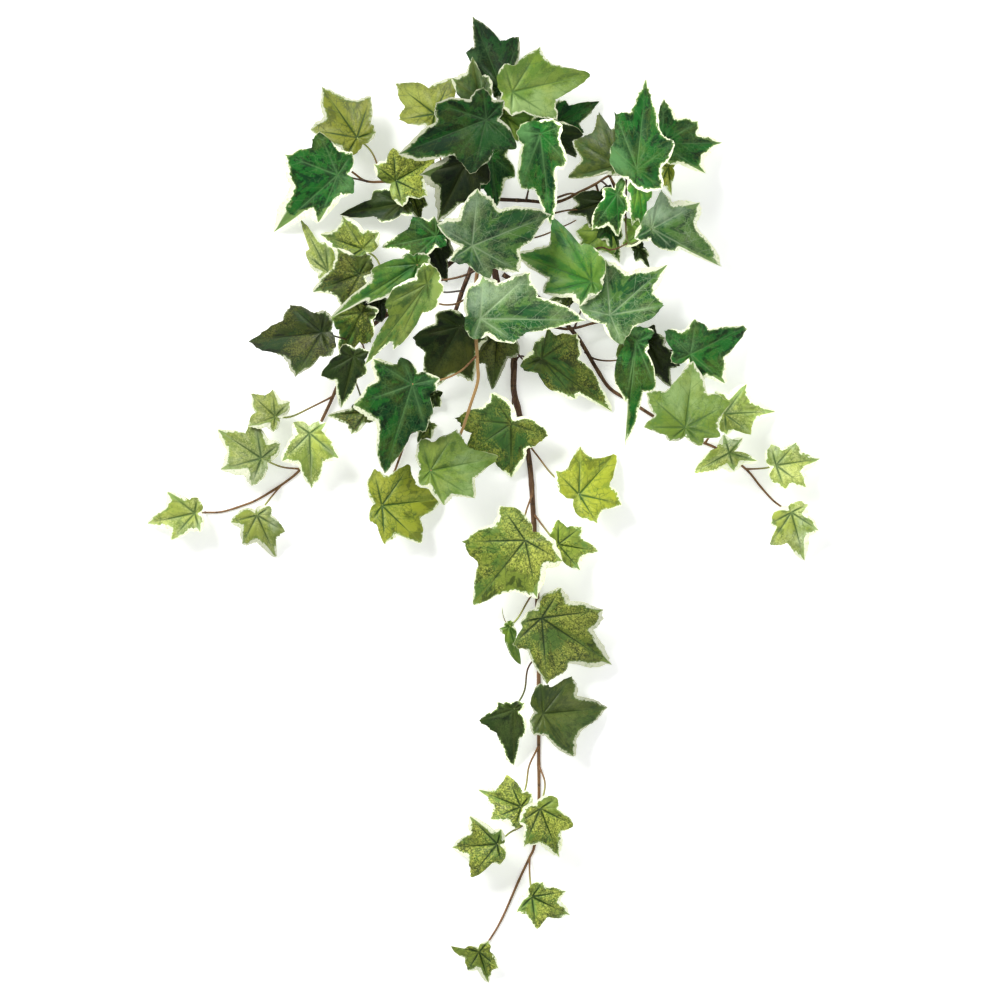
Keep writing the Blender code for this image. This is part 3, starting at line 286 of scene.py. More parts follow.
LEAVES_FRONT = [
    Leaf("crown_leaf_71", "silver", "upper_right_shoot", (10.2, 23.4), (12, 19.4), (17.1, 16.7),
         [(15.5, 21.3), (12.7, 22.2), (13.7, 17.8)], rise=-2, via=[(10.3, 18.5)], tone=1.2,
         cream=(0, 0.19), light=(90, 0.8)),
    Leaf("crown_leaf_64", "moss", "upper_right_shoot", (9, 23.3), (9.6, 23.9), (6, 23.1),
         [(6.4, 25.8), (8.2, 27.8), (9.5, 26.7), (10, 24.6), (9.1, 23.2)], fold=0.6, tone=0.65,
         cream=(-110, 0.14), light=(-60, 0.3)),
    Leaf("crown_leaf_29", "silver", "right_twig", (8, 12.7), (9, 13.2), (13.2, 16.9),
         [(8.7, 17.2), (6.8, 13.7), (12.9, 13.9), (9.9, 11.1)], rise=-1, tone=1.2, cream=(95, 0.22),
         light=(180, 0.4)),
    Leaf("crown_leaf_2", "deep", "upper_left_shoot", (-8.5, 22.9), (-10.6, 23.3), (-15.3, 19.2),
         [(-14.5, 24.8), (-11.9, 26.4), (-9.5, 24.9), (-12, 19.9), (-9.4, 22)], rise=-2, tone=1.1,
         cream=(225, 0.41), light=(-40, 0.5)),
    Leaf("crown_leaf_7", "deep", "main_stem", (0.7, 28.2), (1.2, 29.5), (-0.9, 34.9),
         [(2.5, 33.3), (2.5, 30.4), (-1.4, 32.2), (-0.2, 29.8)], rise=-2.2, tone=0.4, light=(190, 0.8)),
    trim("crown_leaf_5", "moss", "main_stem", (0.6, 26.8), (-0.3, 28.5), (-0.9, 31.8),
         [(-2.4, 30.3), (0.3, 30.4)], rise=-0.2, tone=0.7, cream=(0, 0.11), light=(200, 0.3)),
    Leaf("crown_leaf_36", "lime", "right_shoot", (13.6, 5.1), (14.4, 5.1), (15, 9.9),
         [(11.6, 7.6), (11.4, 5.1), (13.2, 4.1), (17.6, 6.9), (16.9, 4.5), (15.6, 3.8)], rise=-1.4,
         tone=0.8, cream=(160, 0.08), light=(90, 0.5)),
    Leaf("crown_leaf_47", "lime", "front_shoot", (-2.2, 3.7), (-3.9, 2), (1, 3),
         [(-2, 5), (-4.6, 4.3), (-4.7, 1), (-2.9, -0.5), (-0.7, 0)], rise=-0.6, tone=0.8,
         cream=(-80, 0.14), light=(-10, 0.5)),
    Leaf("crown_leaf_21", "deep", "front_shoot", (-0.5, 10.3), (-5.2, 8.2), (-7.2, 1.8),
         [(-4.2, 4.9), (-3.2, 8.6), (-5.9, 10.1), (-8, 10), (-9.4, 6.7)], rise=-2, via=[(-1.8, 9.1),
         (-3.2, 8.5)], cream=(190, 0.14), light=(-20, 0.3)),
    Leaf("crown_leaf_61", "lime", "main_stem", (0.6, 26.8), (2, 29.2), (7.6, 30.6),
         [(4, 32.5), (1.4, 31.2), (5, 27.3), (1.9, 27.5)], rise=-1.8, tone=0.9, cream=(-80, 0.08),
         light=(-60, 0.9)),
    Leaf("crown_leaf_65", "deep", "upper_right_shoot", (3, 21.5), (4, 26.2), (4.75, 19.7),
         [(5.9, 24.2), (5.6, 26.8), (2.3, 26.4), (2.6, 22.3)], rise=-1.4, fold=-0.9, tone=2.2,
         cream=(-20, 0.17), light=(200, 0.7)),
    Leaf("crown_leaf_67", "deep", "upper_right_shoot", (10.2, 23.4), (10.9, 23.6), (11.6, 30.2),
         [(9.3, 27.8), (9, 25.2), (13.6, 25.5), (12.7, 22.2)], rise=-1.6, tone=1.2, cream=(-30, 0.17),
         light=(180, 0.7)),
    Leaf("crown_leaf_15", "fresh", "front_shoot", (-0.6, 14.6), (-4.8, 16.7), (-11.1, 12.9),
         [(-7.9, 16.5), (-5.6, 17.5), (-8.4, 13.9), (-5.2, 15)], rise=-2, bank=-0.8, via=[(-2.3, 13.9),
         (-3.8, 14.3)], tone=0.7, cream=(-60, 0.08), light=(180, 0.4)),
    Leaf("crown_leaf_16", "moss", "lower_left_shoot", (-1.55, 15.1), (-4.1, 15.3), (-8.6, 9.5),
         [(-7.1, 13.8), (-4.3, 16.8), (-6.5, 10.6), (-3.8, 13.4)], rise=-1.8, fold=0.9, via=[(-3, 14.8)],
         tone=1.3, light=(-25, 0.9)),
    Leaf("crown_leaf_27", "fresh", "right_twig", (6.5, 12.3), (7.7, 15.6), (2.3, 17.6),
         [(5, 20.2), (7.6, 18.2), (4.2, 14.8), (6.8, 13.8), (8, 14.6)], rise=-1, tone=0.9,
         cream=(240, 0.17), light=(80, 0.4)),
    Leaf("crown_leaf_28", "silver", "front_shoot", (-0.7, 13.6), (-0.3, 12.9), (7.3, 12.8),
         [(3.3, 16.2), (-0.1, 16), (2.2, 11.2), (-0.8, 11.4)], rise=-1.5, bank=0.5, tone=1.5,
         cream=(80, 0.17), light=(90, 0.7)),
    Leaf("crown_leaf_6", "deep", "main_stem", (0.5, 25.6), (0.1, 27.1), (-6.2, 24.7),
         [(-3.5, 28.3), (-0.1, 29.4), (1.4, 28.4), (2.3, 25.1), (-0.8, 23.3)], rise=-1.8, tone=0.5,
         cream=(150, 0.08), light=(-60, 0.3)),
    Leaf("crown_leaf_26", "silver", "main_stem", (0.5, 19.5), (-0.9, 18.1), (4.8, 20.4),
         [(-0.5, 22.2), (-3.4, 19.6), (-2.5, 17), (0.2, 15.8), (2.5, 16.2)], rise=-1.2, tone=0.85,
         cream=(100, 0.17), light=(135, 0.5)),
]

FILLERS = [
    filler(0.7, "filler_leaf_1", "deep", "upper_right_shoot", (8, 22.7), (9, 19.9), (9.75, 17),
           [(8.1, 18.9), (9.95, 18.9)]),
    filler(0.5, "filler_leaf_2", "lime", "upper_right_shoot", (8, 22.7), (8.9, 19.4), (6.4, 17.5),
           [(6.5, 19.3), (9.3, 17.6)]),
    filler(0.6, "filler_leaf_3", "shadow", "lower_left_shoot", (-5, 6.3), (-3.6, 7.6), (-4.3, 6.1),
           [(-4.6, 7.3), (-3.2, 6.6)]),
    filler(0.5, "filler_leaf_4", "olive", "lower_left_shoot", (-5.5, 4.6), (-4, 5.3), (-4.9, 4),
           [(-5.1, 5.1), (-3.9, 4.3)]),
    filler(1.2, "filler_leaf_5", "olive", "upper_left_shoot", (-4.5, 22.9), (-5.2, 21.9), (-4.6, 20),
           [(-5.9, 20.9), (-4.1, 21.2)]),
    filler(0.8, "filler_leaf_6", "pale", "left_shoot", (-6.5, 13.6), (-11.3, 16.4), (-13.3, 20.2),
           [(-12.9, 17.6), (-11.5, 18.5)]),
    filler(1, "filler_leaf_7", "shadow", "upper_right_shoot", (9, 23.3), (11.1, 18.1), (11.9, 16.7),
           [(10.9, 17.1), (11.9, 17.5)]),
]

# Bare twigs and a tendril, like the shoots above.
TWIGS = [
    Shoot("twig_1", 0.10, 0.07, [
        (4.4, 21.4, 1.3), (5.2, 21.7, 1.6), (6.2, 22.0, 1.8), (7.0, 21.8, 1.7)]),
    Shoot("twig_2", 0.09, 0.06, [
        (2.6, 20.6, 1.2), (4.4, 20.5, 1.4), (6.0, 20.8, 1.6), (7.6, 20.9, 1.5)]),
    Shoot("twig_3", 0.08, 0.05, [
        (0.6, 19.0, 1.1), (3.4, 18.8, 1.2), (5.8, 19.7, 1.3), (6.6, 20.1, 1.3)]),
    Shoot("twig_4", 0.08, 0.05, [
        (6.0, 16.9, 1.0), (8.2, 18.1, 1.1), (9.4, 18.0, 1.1), (12.0, 19.4, 1.3)]),
    Shoot("twig_5", 0.08, 0.05, [
        (7.2, 10.6, 0.6), (7.9, 10.1, 0.7), (9.1, 9.95, 0.8), (10.6, 10.2, 0.9)]),
    Shoot("twig_6", 0.08, 0.06, [
        (-8.4, 12.4, 0.9), (-9.1, 11.7, 1.0), (-8.8, 11.1, 1.0), (-8.6, 10.3, 0.9)]),
    Shoot("twig_7", 0.08, 0.05, [
        (2.1, 9.5, 0.6), (2.5, 10.3, 0.8), (3.3, 10.1, 0.9), (4.0, 10.4, 0.9)]),
    Shoot("twig_8", 0.11, 0.06, [
        (-0.3, 16.6, 4.0), (-1.6, 16.0, 4.0), (-3.2, 15.7, 3.9), (-4.0, 15.9, 3.8)]),
    Shoot("tendril", 0.05, 0.02, [
        (1.8, -9.3, 0.5), (1.45, -8.8, 0.55), (1.3, -8.3, 0.5), (1.25, -7.9, 0.4)]),
]


# ------------------------------------------------------------------ shape of a blade
def lobe_points(row):
    """Angle from the midrib and length of every lobe, counter-clockwise from the notch."""
    base = Vector(row.base)
    midrib = Vector(row.tip) - base
    heading = math.atan2(midrib.y, midrib.x)
    points = []
    for lobe in [row.tip] + list(row.lobes):
        arm = Vector(lobe) - base
        turn = math.atan2(arm.y, arm.x) - heading
        points.append(((turn + math.pi) % math.tau - math.pi, arm.length))
    points.sort()
    if points[0][0] + math.tau - points[-1][0] > WIDEST_BASE:
        shoulder = SHOULDER_SHARE * (points[0][1] + points[-1][1]) / 2
        points = [(-SHOULDER_ANGLE, shoulder)] + points + [(SHOULDER_ANGLE, shoulder)]
    return points, heading, midrib.length


def rim(row, steps):
    """Rim of a blade as angles from the midrib and radii, with `steps` points from each tip to a bay."""
    points, heading, length = lobe_points(row)
    angles, radii = [], []
    for index, (angle, radius) in enumerate(points):
        last = index == len(points) - 1
        next_angle, next_radius = points[0] if last else points[index + 1]
        next_angle += math.tau if last else 0.0
        gap = next_angle - angle
        chord = 2 * radius * next_radius * math.cos(gap / 2) / (radius + next_radius)
        bay = max(BAY_DEPTH * chord, BAY_LEAST * (radius + next_radius) / 2)
        if last:
            bay = NOTCH * length
        middle = angle + gap / 2
        for step in range(2 * steps):
            share = abs(1 - step / steps)
            end_angle, end_radius = (angle, radius) if step < steps else (next_angle, next_radius)
            angles.append(middle + (end_angle - middle) * share)
            radii.append(bay + (end_radius - bay) * share ** LOBE_POINT)
    return np.array(angles), np.array(radii), heading, length


def lean(row, reach, angles, length):
    """Height over the base that the attitude of a leaf gives each point."""
    along = reach * np.cos(angles) / length
    across = reach * np.sin(angles) / length
    tilt = row.rise * along + row.bank * across
    return tilt + row.fold * np.abs(across) + row.droop * (reach / length) ** 2


# ------------------------------------------------------------------ how the pieces lie on each other
class LieMap:
    """Height of what already lies at each place, on a square grid."""

    def __init__(self):
        self.top = np.zeros([int(2 * half / CELL) for half in MAP_HALF])

    def cells(self, x, y):
        return ((x + MAP_HALF[0]) / CELL).astype(int), ((y + MAP_HALF[1]) / CELL).astype(int)

    def under(self, x, y):
        return self.top[self.cells(x, y)]

    def lay(self, x, y, height):
        column, line = self.cells(x, y)
        for side in (-1, 0, 1):
            for end in (-1, 0, 1):
                np.maximum.at(self.top, (column + side, line + end), height)


def settle(row, lie_map):
    """Height of the blade's base when the leaf lies on what is under it; the map takes the leaf in."""
    angles, radii, heading, length = rim(row, MAP_STEPS)
    reach = np.outer(MAP_SHARES, radii)
    height = lean(row, reach, angles, length)
    x = row.base[0] + reach * np.cos(angles + heading)
    y = row.base[1] + reach * np.sin(angles + heading)
    floor = LAY_GAP / 2 if row.solid else TRIM_LIFT
    support = np.maximum(lie_map.under(x, y) + LAY_GAP, floor)
    base = float((support - height).max())
    lie_map.lay(x.ravel(), y.ravel(), (base + height).ravel())
    return base


# ------------------------------------------------------------------ meshes
class Surface:
    """Points, faces, named point values and face slots of a mesh under construction."""

    def __init__(self):
        self.points, self.faces, self.slots, self.values = [], [], [], {}

    def add_points(self, points, **values):
        first = len(self.points)
        self.points.extend(points)
        for name in set(self.values) | set(values):
            column = self.values.setdefault(name, [0.0] * first)
            column.extend(values.get(name, [0.0] * len(points)))
        return first

    def add_face(self, corners, slot=0):
        self.faces.append(tuple(corners))
        self.slots.append(slot)

    def build(self, name, materials):
        data = bpy.data.meshes.new(name)
        data.from_pydata([tuple(value * CM for value in point) for point in self.points], [], self.faces)
        for label, column in self.values.items():
            layer = data.attributes.new(label, "FLOAT", "POINT")
            layer.data.foreach_set("value", column)
        for material in materials:
            data.materials.append(material)
        data.polygons.foreach_set("material_index", self.slots)
        data.shade_smooth()
        data.set_sharp_from_angle(angle=math.radians(50))
        piece = bpy.data.objects.new(name, data)
        bpy.context.collection.objects.link(piece)
        return piece


def smooth_route(points, step):
    """Points about `step` apart on a smooth curve through the given ones."""
    points = [Vector(point) for point in points]
    ends = [2 * points[0] - points[1]] + points + [2 * points[-1] - points[-2]]
    route = []
    for before, start, end, after in zip(ends, ends[1:], ends[2:], ends[3:]):
        count = max(1, round((end - start).length / step))
        for index in range(count):
            t = index / count
            bend = (2 * before - 5 * start + 4 * end - after) * t * t
            twist = (3 * start - before - 3 * end + after) * t ** 3
            route.append(0.5 * (2 * start + (end - before) * t + bend + twist))
    return route + [points[-1]]


def add_tube(surface, route, radius_at, sides, slot, end_slot=None):
    """Closed tube along a route; radius_at gives the radius for a share of the way."""
    normal = Vector((0.0, 0.0, 1.0))
    walked = 0.0
    rings = []
    for index, point in enumerate(route):
        ahead = (route[min(index + 1, len(route) - 1)] - route[max(index - 1, 0)]).normalized()
        if abs(normal.dot(ahead)) > 0.95:
            normal = Vector((1.0, 0.0, 0.0))
        normal = (normal - ahead * normal.dot(ahead)).normalized()
        side = ahead.cross(normal)
        if index:
            walked += (point - route[index - 1]).length
        share = index / (len(route) - 1)
        radius = radius_at(share, walked)
        turns = [math.tau * corner / sides for corner in range(sides)]
        ring = [point + radius * (math.cos(turn) * normal + math.sin(turn) * side) for turn in turns]
        rings.append(surface.add_points(ring, walked=[walked] * sides, grown=[share] * sides))
    for ring, following in zip(rings, rings[1:]):
        for corner in range(sides):
            after = (corner + 1) % sides
            surface.add_face((ring + corner, ring + after, following + after, following + corner), slot)
    cap = slot if end_slot is None else end_slot
    surface.add_face([rings[0] + corner for corner in reversed(range(sides))], cap)
    surface.add_face([rings[-1] + corner for corner in range(sides)], slot)


def distance_to_rim(x, y):
    """Distance in the plane from each point of a blade to the nearest stretch of its rim, the last row."""
    start = np.stack([x[-1], y[-1]], -1)
    side = np.roll(start, -1, 0) - start
    places = np.stack([x.ravel(), y.ravel()], -1)[:, None]
    share = ((places - start) * side).sum(-1) / np.maximum((side ** 2).sum(-1), 1e-9)
    nearest = start + np.clip(share, 0, 1)[..., None] * side
    return np.sqrt(((places - nearest) ** 2).sum(-1)).min(1).reshape(x.shape)


def cream_width(row, angles, heading, dice):
    """Width of the cream rim for each direction: it comes and goes, and one side may be broad."""
    first, second = dice.uniform(0, math.tau, 2)
    wave = 0.5 + 0.3 * np.sin(2 * angles + first) + 0.3 * np.sin(5 * angles + second)
    direction, broad = row.cream
    facing = np.maximum(np.cos(angles + heading - math.radians(direction)), 0.0)
    return LOOKS[row.finish].rim_width * np.clip(2.2 * wave - 0.7, 0.0, 1.5) + broad * facing ** 1.5


def relief(lobes, turns, offset, share, from_vein, angles, dice):
    """Small heights of a blade: bulges between sunken veins, bent lobe tips and a wavy rim."""
    waves, phase = dice.integers(5, 9), dice.uniform(0, math.tau)
    height = RIPPLE * share ** 3 * np.sin(waves * angles + phase)
    height += PILLOW * np.sin(math.pi * np.minimum(offset / 0.6, 1)) * 4 * share * (1 - share)
    groove = np.exp(-(from_vein / VEIN_GROOVE_WIDTH) ** 2) * np.minimum(share * 4, 1) * (1 - share)
    height -= VEIN_GROOVE * groove
    bends = dice.uniform(-1, 1, len(lobes))
    return height + CURL * share ** 2 * (bends * np.exp(-(turns / 0.35) ** 2)).sum(1)


def add_blade(surface, row, base_height, dice):
    """Thin veined blade: an upper and a lower side joined along the rim."""
    angles, radii, heading, length = rim(row, RIM_STEPS)
    lobes = lobe_points(row)[0]
    count = len(angles)
    turns = (angles[:, None] - np.array([angle for angle, _ in lobes]) + math.pi) % math.tau - math.pi
    offset = np.abs(turns).min(1)
    phases = dice.uniform(0, math.tau, 3)
    sway = SWAY * sum(np.sin(pitch * angles + phase) for pitch, phase in zip((7, 11, 17), phases))
    bites = dice.normal(size=count) * BITE + sway
    is_tip = np.arange(count) % (2 * RIM_STEPS) == 0
    radii = radii * (1 + np.where(is_tip, 0.0, bites))
    share = np.concatenate([[0.0], RINGS])[:, None] * np.ones(count)
    reach = share * radii
    along_vein = reach * np.cos(offset)
    from_vein = reach * np.sin(np.minimum(offset, math.pi / 2))
    height = base_height + lean(row, reach, angles, length)
    height += relief(lobes, turns, offset, share, from_vein, angles, dice)
    x = row.base[0] + reach * np.cos(angles + heading)
    y = row.base[1] + reach * np.sin(angles + heading)
    seed = dice.uniform(0, 90)
    # painted light: lit is how much a point is painted paler as if lit (above 0) and darker as if shaded
    # (below 0)
    direction, strength = row.light
    facing = np.cos(angles + heading - math.radians(direction)) * strength
    values = {
        "along": reach * np.cos(angles) + seed, "across": reach * np.sin(angles) + seed,
        "along_vein": along_vein, "from_vein": from_vein, "to_rim": distance_to_rim(x, y),
        "cream": cream_width(row, angles, heading, dice), "lit": facing * np.minimum(share * 2, 1),
        "side": np.sin(angles) >= 0, "out": share, "size": length, "seed": seed,
        "tone": row.tone * dice.uniform(1 - TONE_SPREAD, 1 + TONE_SPREAD)}
    values = {name: np.broadcast_to(value, x.shape) for name, value in values.items()}
    sides = []
    for under, lift in ((0.0, BLADE_THICKNESS / 2), (1.0, -BLADE_THICKNESS / 2)):
        points = np.stack([x, y, height + lift], -1)[1:].reshape(-1, 3)
        middle = surface.add_points([(x[0, 0], y[0, 0], height[0, 0] + lift)], under=[under],
                                    **{name: [float(value[0, 0])] for name, value in values.items()})
        first = surface.add_points([tuple(point) for point in points], under=[under] * len(points),
                                   **{name: value[1:].ravel().astype(float).tolist()
                                      for name, value in values.items()})
        sides.append(first)
        order = 1 if lift > 0 else -1
        for corner in range(count):
            after = (corner + 1) % count
            surface.add_face((middle, first + corner, first + after)[::order])
            for ring in range(len(RINGS) - 1):
                inner, outer = first + ring * count, first + (ring + 1) * count
                surface.add_face((inner + corner, outer + corner, outer + after, inner + after)[::order])
    top, bottom = [first + (len(RINGS) - 1) * count for first in sides]
    for corner in range(count):
        after = (corner + 1) % count
        surface.add_face((top + corner, bottom + corner, bottom + after, top + after))


# ------------------------------------------------------------------ shader expressions
class Wire:
    """An output socket that can stand in Python sums; every operator adds a Math node."""

    def __init__(self, paint, socket):
        self.paint, self.socket = paint, socket

    def math(self, operation, *values):
        return self.paint.node("ShaderNodeMath", {"operation": operation}, dict(enumerate(values)))

    def __add__(self, other):
        return self.math("ADD", self, other)

    def __sub__(self, other):
        return self.math("SUBTRACT", self, other)

    def __rsub__(self, other):
        return self.math("SUBTRACT", other, self)

    def __mul__(self, other):
        return self.math("MULTIPLY", self, other)

    def __truediv__(self, other):
        return self.math("DIVIDE", self, other)

    def __rtruediv__(self, other):
        return self.math("DIVIDE", other, self)

    __radd__ = __add__
    __rmul__ = __mul__


class Paint:
    """Node tree of one finish."""

    def __init__(self, name, roughness, specular):
        self.material = bpy.data.materials.new(name)
        self.material.use_nodes = True
        self.tree = self.material.node_tree
        self.shader = self.tree.nodes["Principled BSDF"]
        self.shader.inputs["Roughness"].default_value = roughness
        self.shader.inputs["Specular IOR Level"].default_value = specular

    def node(self, kind, settings=None, inputs=None, output=0):
        made = self.tree.nodes.new(kind)
        for name, value in (settings or {}).items():
            setattr(made, name, value)
        for key, value in (inputs or {}).items():
            if isinstance(value, Wire):
                self.tree.links.new(value.socket, made.inputs[key])
            else:
                made.inputs[key].default_value = value
        return Wire(self, made.outputs[output])

    def feed(self, name, value):
        self.tree.links.new(value.socket, self.shader.inputs[name])

    def value(self, name):
        return self.node("ShaderNodeAttribute", {"attribute_name": name}, output="Fac")

    def place(self, x, y, z):
        return self.node("ShaderNodeCombineXYZ", {}, {0: x, 1: y, 2: z})

    def mix(self, share, first, second):
        return self.node("ShaderNodeMix", {"data_type": "RGBA"}, {0: share, 6: first, 7: second}, 2)

    def ease(self, value, low, high):
        """0 below low, 1 above high and a smooth step between; high may be under low."""
        step = {"interpolation_type": "SMOOTHSTEP"}
        return self.node("ShaderNodeMapRange", step, {0: value, 1: low, 2: high})

    def noise(self, place, scale, detail=2.0):
        return self.node("ShaderNodeTexNoise", {}, {"Vector": place, "Scale": scale, "Detail": detail})

    def cells(self, place, scale):
        """One even random number for each small cell."""
        patch = self.node("ShaderNodeTexVoronoi", {}, {"Vector": place, "Scale": scale}, "Color")
        return self.node("ShaderNodeSeparateColor", {}, {0: patch}, 0)

    def edges(self, place, scale):
        """Distance to the nearest border between cells."""
        border = {"feature": "DISTANCE_TO_EDGE"}
        return self.node("ShaderNodeTexVoronoi", border, {"Vector": place, "Scale": scale})

    def bump(self, height, strength, distance):
        inputs = {"Height": height, "Strength": strength, "Distance": distance}
        return self.node("ShaderNodeBump", {}, inputs)


def colour(red, green, blue):
    """Linear colour for the screen values of a paint chart, 0 to 255."""
    linear = []
    for value in (red, green, blue):
        share = value / 255
        linear.append(share / 12.92 if share <= 0.04045 else ((share + 0.055) / 1.055) ** 2.4)
    return (*linear, 1.0)


# ------------------------------------------------------------------ leaf finishes
CREAM = colour(232, 236, 188)
RIM_WHITE = colour(238, 242, 226)
RIM_GREEN = colour(140, 172, 92)
UNDERSIDE = colour(150, 172, 118)
LEAF_ROUGHNESS = 0.40
# light is the colour of the side painted as lit and of the pale halo along the veins; dark is the colour
# of darker islands, streaks, flecks and the rim's inner border, and also of the side painted as shaded
Look = namedtuple("Look", "body patch dark light fleck vein patches flecks streaks veins rim_width gloss")


def leaf_finish(name, look):
    """Finish of a blade: patched ground, a side painted paler as if lit and a side painted darker as if
    shaded, brushed streaks, fine mosaic, veins and an uneven cream rim.
    """
    paint = Paint(name, LEAF_ROUGHNESS, look.gloss)
    along, across, seed = paint.value("along"), paint.value("across"), paint.value("seed")
    along_vein, from_vein = paint.value("along_vein"), paint.value("from_vein")
    to_rim, size, under = paint.value("to_rim"), paint.value("size"), paint.value("under")
    flat = paint.place(along, across, seed)
    fan = paint.place(along_vein * 0.45 + seed, from_vein * 1.1, paint.value("side") * 7 + seed)
    ground = paint.noise(fan, 0.9, 4.0)
    jag = paint.cells(flat, 5.5)
    fine = paint.cells(flat, 12.0)

    # ground: two tones in jagged patches and darker islands, then painted light: one side painted paler as
    # if lit, the other painted darker as if shaded
    patches = paint.ease(ground + jag * 0.08, 0.66 - 0.3 * look.patches, 0.71 - 0.3 * look.patches)
    shade = paint.mix(patches, look.body, look.patch)
    islands = paint.noise(fan, 1.6, 3.0) + jag * 0.07
    shade = paint.mix(paint.ease(islands, 0.56, 0.66) * 0.8, shade, look.dark)
    painted_light_mask = paint.value("lit") + (paint.noise(flat, 0.8, 3.0) - 0.5) * 1.2 + (fine - 0.5) * 0.12
    shade = paint.mix(paint.ease(painted_light_mask, 0.12, 0.75) * 0.85, shade, look.light)
    shade = paint.mix(paint.ease(painted_light_mask, -0.30, -0.85) * 0.7, shade, look.dark)

    warm = paint.ease(paint.noise(flat, 0.45, 2.0), 0.52, 0.68)
    shade = paint.mix(warm * 0.4, shade, look.fleck)

    # streaks that fan out with the veins
    strokes = paint.place(along_vein * 0.5 + seed, from_vein * 3.2 + ground * 2.0, seed)
    brush = paint.noise(strokes, 1.7, 5.0)
    shade = paint.mix(paint.ease(brush, 0.52, 0.80) * look.streaks, shade, look.fleck)
    shade = paint.mix(paint.ease(brush, 0.46, 0.20) * look.streaks, shade, look.dark)

    # fine mosaic between the veins
    zone = paint.ease(paint.noise(flat, 0.45, 2.0), 0.38, 0.56)
    seams = paint.ease(paint.edges(flat, 8.5), 0.09, 0.02)
    shade = paint.mix(paint.ease(fine, 0.55, 0.85) * zone * (look.flecks * 0.8), shade, look.fleck)
    shade = paint.mix(paint.ease(fine, 0.40, 0.12) * zone * (look.flecks * 0.7), shade, look.dark)
    shade = paint.mix(seams * zone * (look.flecks * 0.45), shade, look.fleck)

    # veins: the main ones fade before the tips, with short side veins
    reach = along_vein / size
    taper = paint.ease(reach, 0.95, 0.05)
    main = paint.ease(from_vein, taper * 0.095 + 0.012, taper * 0.025)
    main = main * paint.ease(paint.value("out"), 0.92, 0.5) * (paint.ease(ground, 0.3, 0.5) * 0.5 + 0.5)
    halo = paint.ease(from_vein, taper * 0.4 + 0.05, 0.03) * paint.ease(ground, 0.35, 0.6)
    shade = paint.mix(halo * 0.22, shade, look.light)
    branch = (along_vein - from_vein * 1.15 + paint.value("side") * 0.45 + (ground - 0.5) * 0.35) / 1.35
    ladder = paint.node("ShaderNodeMath", {"operation": "PINGPONG"}, {0: branch, 1: 0.5})
    fade = paint.ease(from_vein / (along_vein * 0.42 + 0.1), 1.0, 0.35) * paint.ease(along_vein, 0.5, 1.1)
    twigs = paint.ease(ladder, 0.045, 0.008) * fade
    veins = paint.node("ShaderNodeMath", {"operation": "MAXIMUM"}, {0: main, 1: twigs * 0.55})
    shade = paint.mix(veins * look.veins, shade, look.vein)
    bent = paint.place(along + ground * 0.8, across + islands * 0.8, seed)
    net = paint.ease(paint.edges(bent, 2.3), 0.05, 0.012)
    net = net * paint.ease(paint.noise(flat, 0.7, 1.0), 0.4, 0.6)
    shade = paint.mix(net * (look.veins * 0.75), shade, look.vein)

    # uneven cream rim with a jagged inner border, a green band inside it and a thin white edge
    wander = paint.noise(flat, 1.1, 3.0) * 1.5 + 0.25
    width = paint.value("cream") * wander + (jag - 0.5) * 0.12 + (fine - 0.5) * 0.05
    core = paint.ease(to_rim / (to_rim + from_vein + 0.01), 0.66, 0.5)
    rim_mask = paint.ease(to_rim - width, 0.03, -0.02) * paint.ease(paint.value("cream"), 0.0, 0.07) * core
    band = paint.ease(to_rim - width, 0.16, 0.0) * paint.ease(paint.value("cream"), 0.0, 0.1)
    darker = paint.ease(to_rim - width, 0.45, 0.08) * paint.ease(paint.noise(flat, 1.3, 2.0), 0.45, 0.62)
    shade = paint.mix(darker * 0.5, shade, look.dark)
    shade = paint.mix(band * 0.45, shade, RIM_GREEN)
    cream = paint.mix(paint.noise(flat, 1.8, 3.0), CREAM, RIM_WHITE)
    cream = paint.mix(paint.ease(fine, 0.75, 0.95) * 0.4, cream, RIM_GREEN)
    shade = paint.mix(rim_mask, shade, cream)
    hairline = paint.ease(to_rim, 0.035, 0.012) * paint.ease(paint.noise(flat, 0.6, 1.0), 0.48, 0.58)
    shade = paint.mix(hairline * 0.7, shade, CREAM)

    # each leaf's tone scales its colour: its own brightness, partly painted shade and light for where it
    # lies
    tone = paint.value("tone")
    shade = paint.node("ShaderNodeVectorMath", {"operation": "SCALE"}, {0: shade, "Scale": tone})
    pale = paint.mix(rim_mask, paint.mix(veins * 0.5, UNDERSIDE, look.fleck), CREAM)
    paint.feed("Base Color", paint.mix(under, shade, paint.mix(0.45, shade, pale)))
    paint.feed("Roughness", paint.noise(flat, 2.6, 2.0) * 0.3 + (LEAF_ROUGHNESS - 0.15) + under * 0.15)
    grain = paint.noise(flat, 14.0, 3.0) * 0.2 + seams * 0.2 - veins * 0.8 + ground * 0.8
    paint.feed("Normal", paint.bump(grain, 0.4, 0.0008))
    return paint.material


def leaf_look(*details):
    """A leaf finish: six screen colours, then the other values of the row."""
    return Look(*(colour(*tint) for tint in details[:6]), *details[6:])


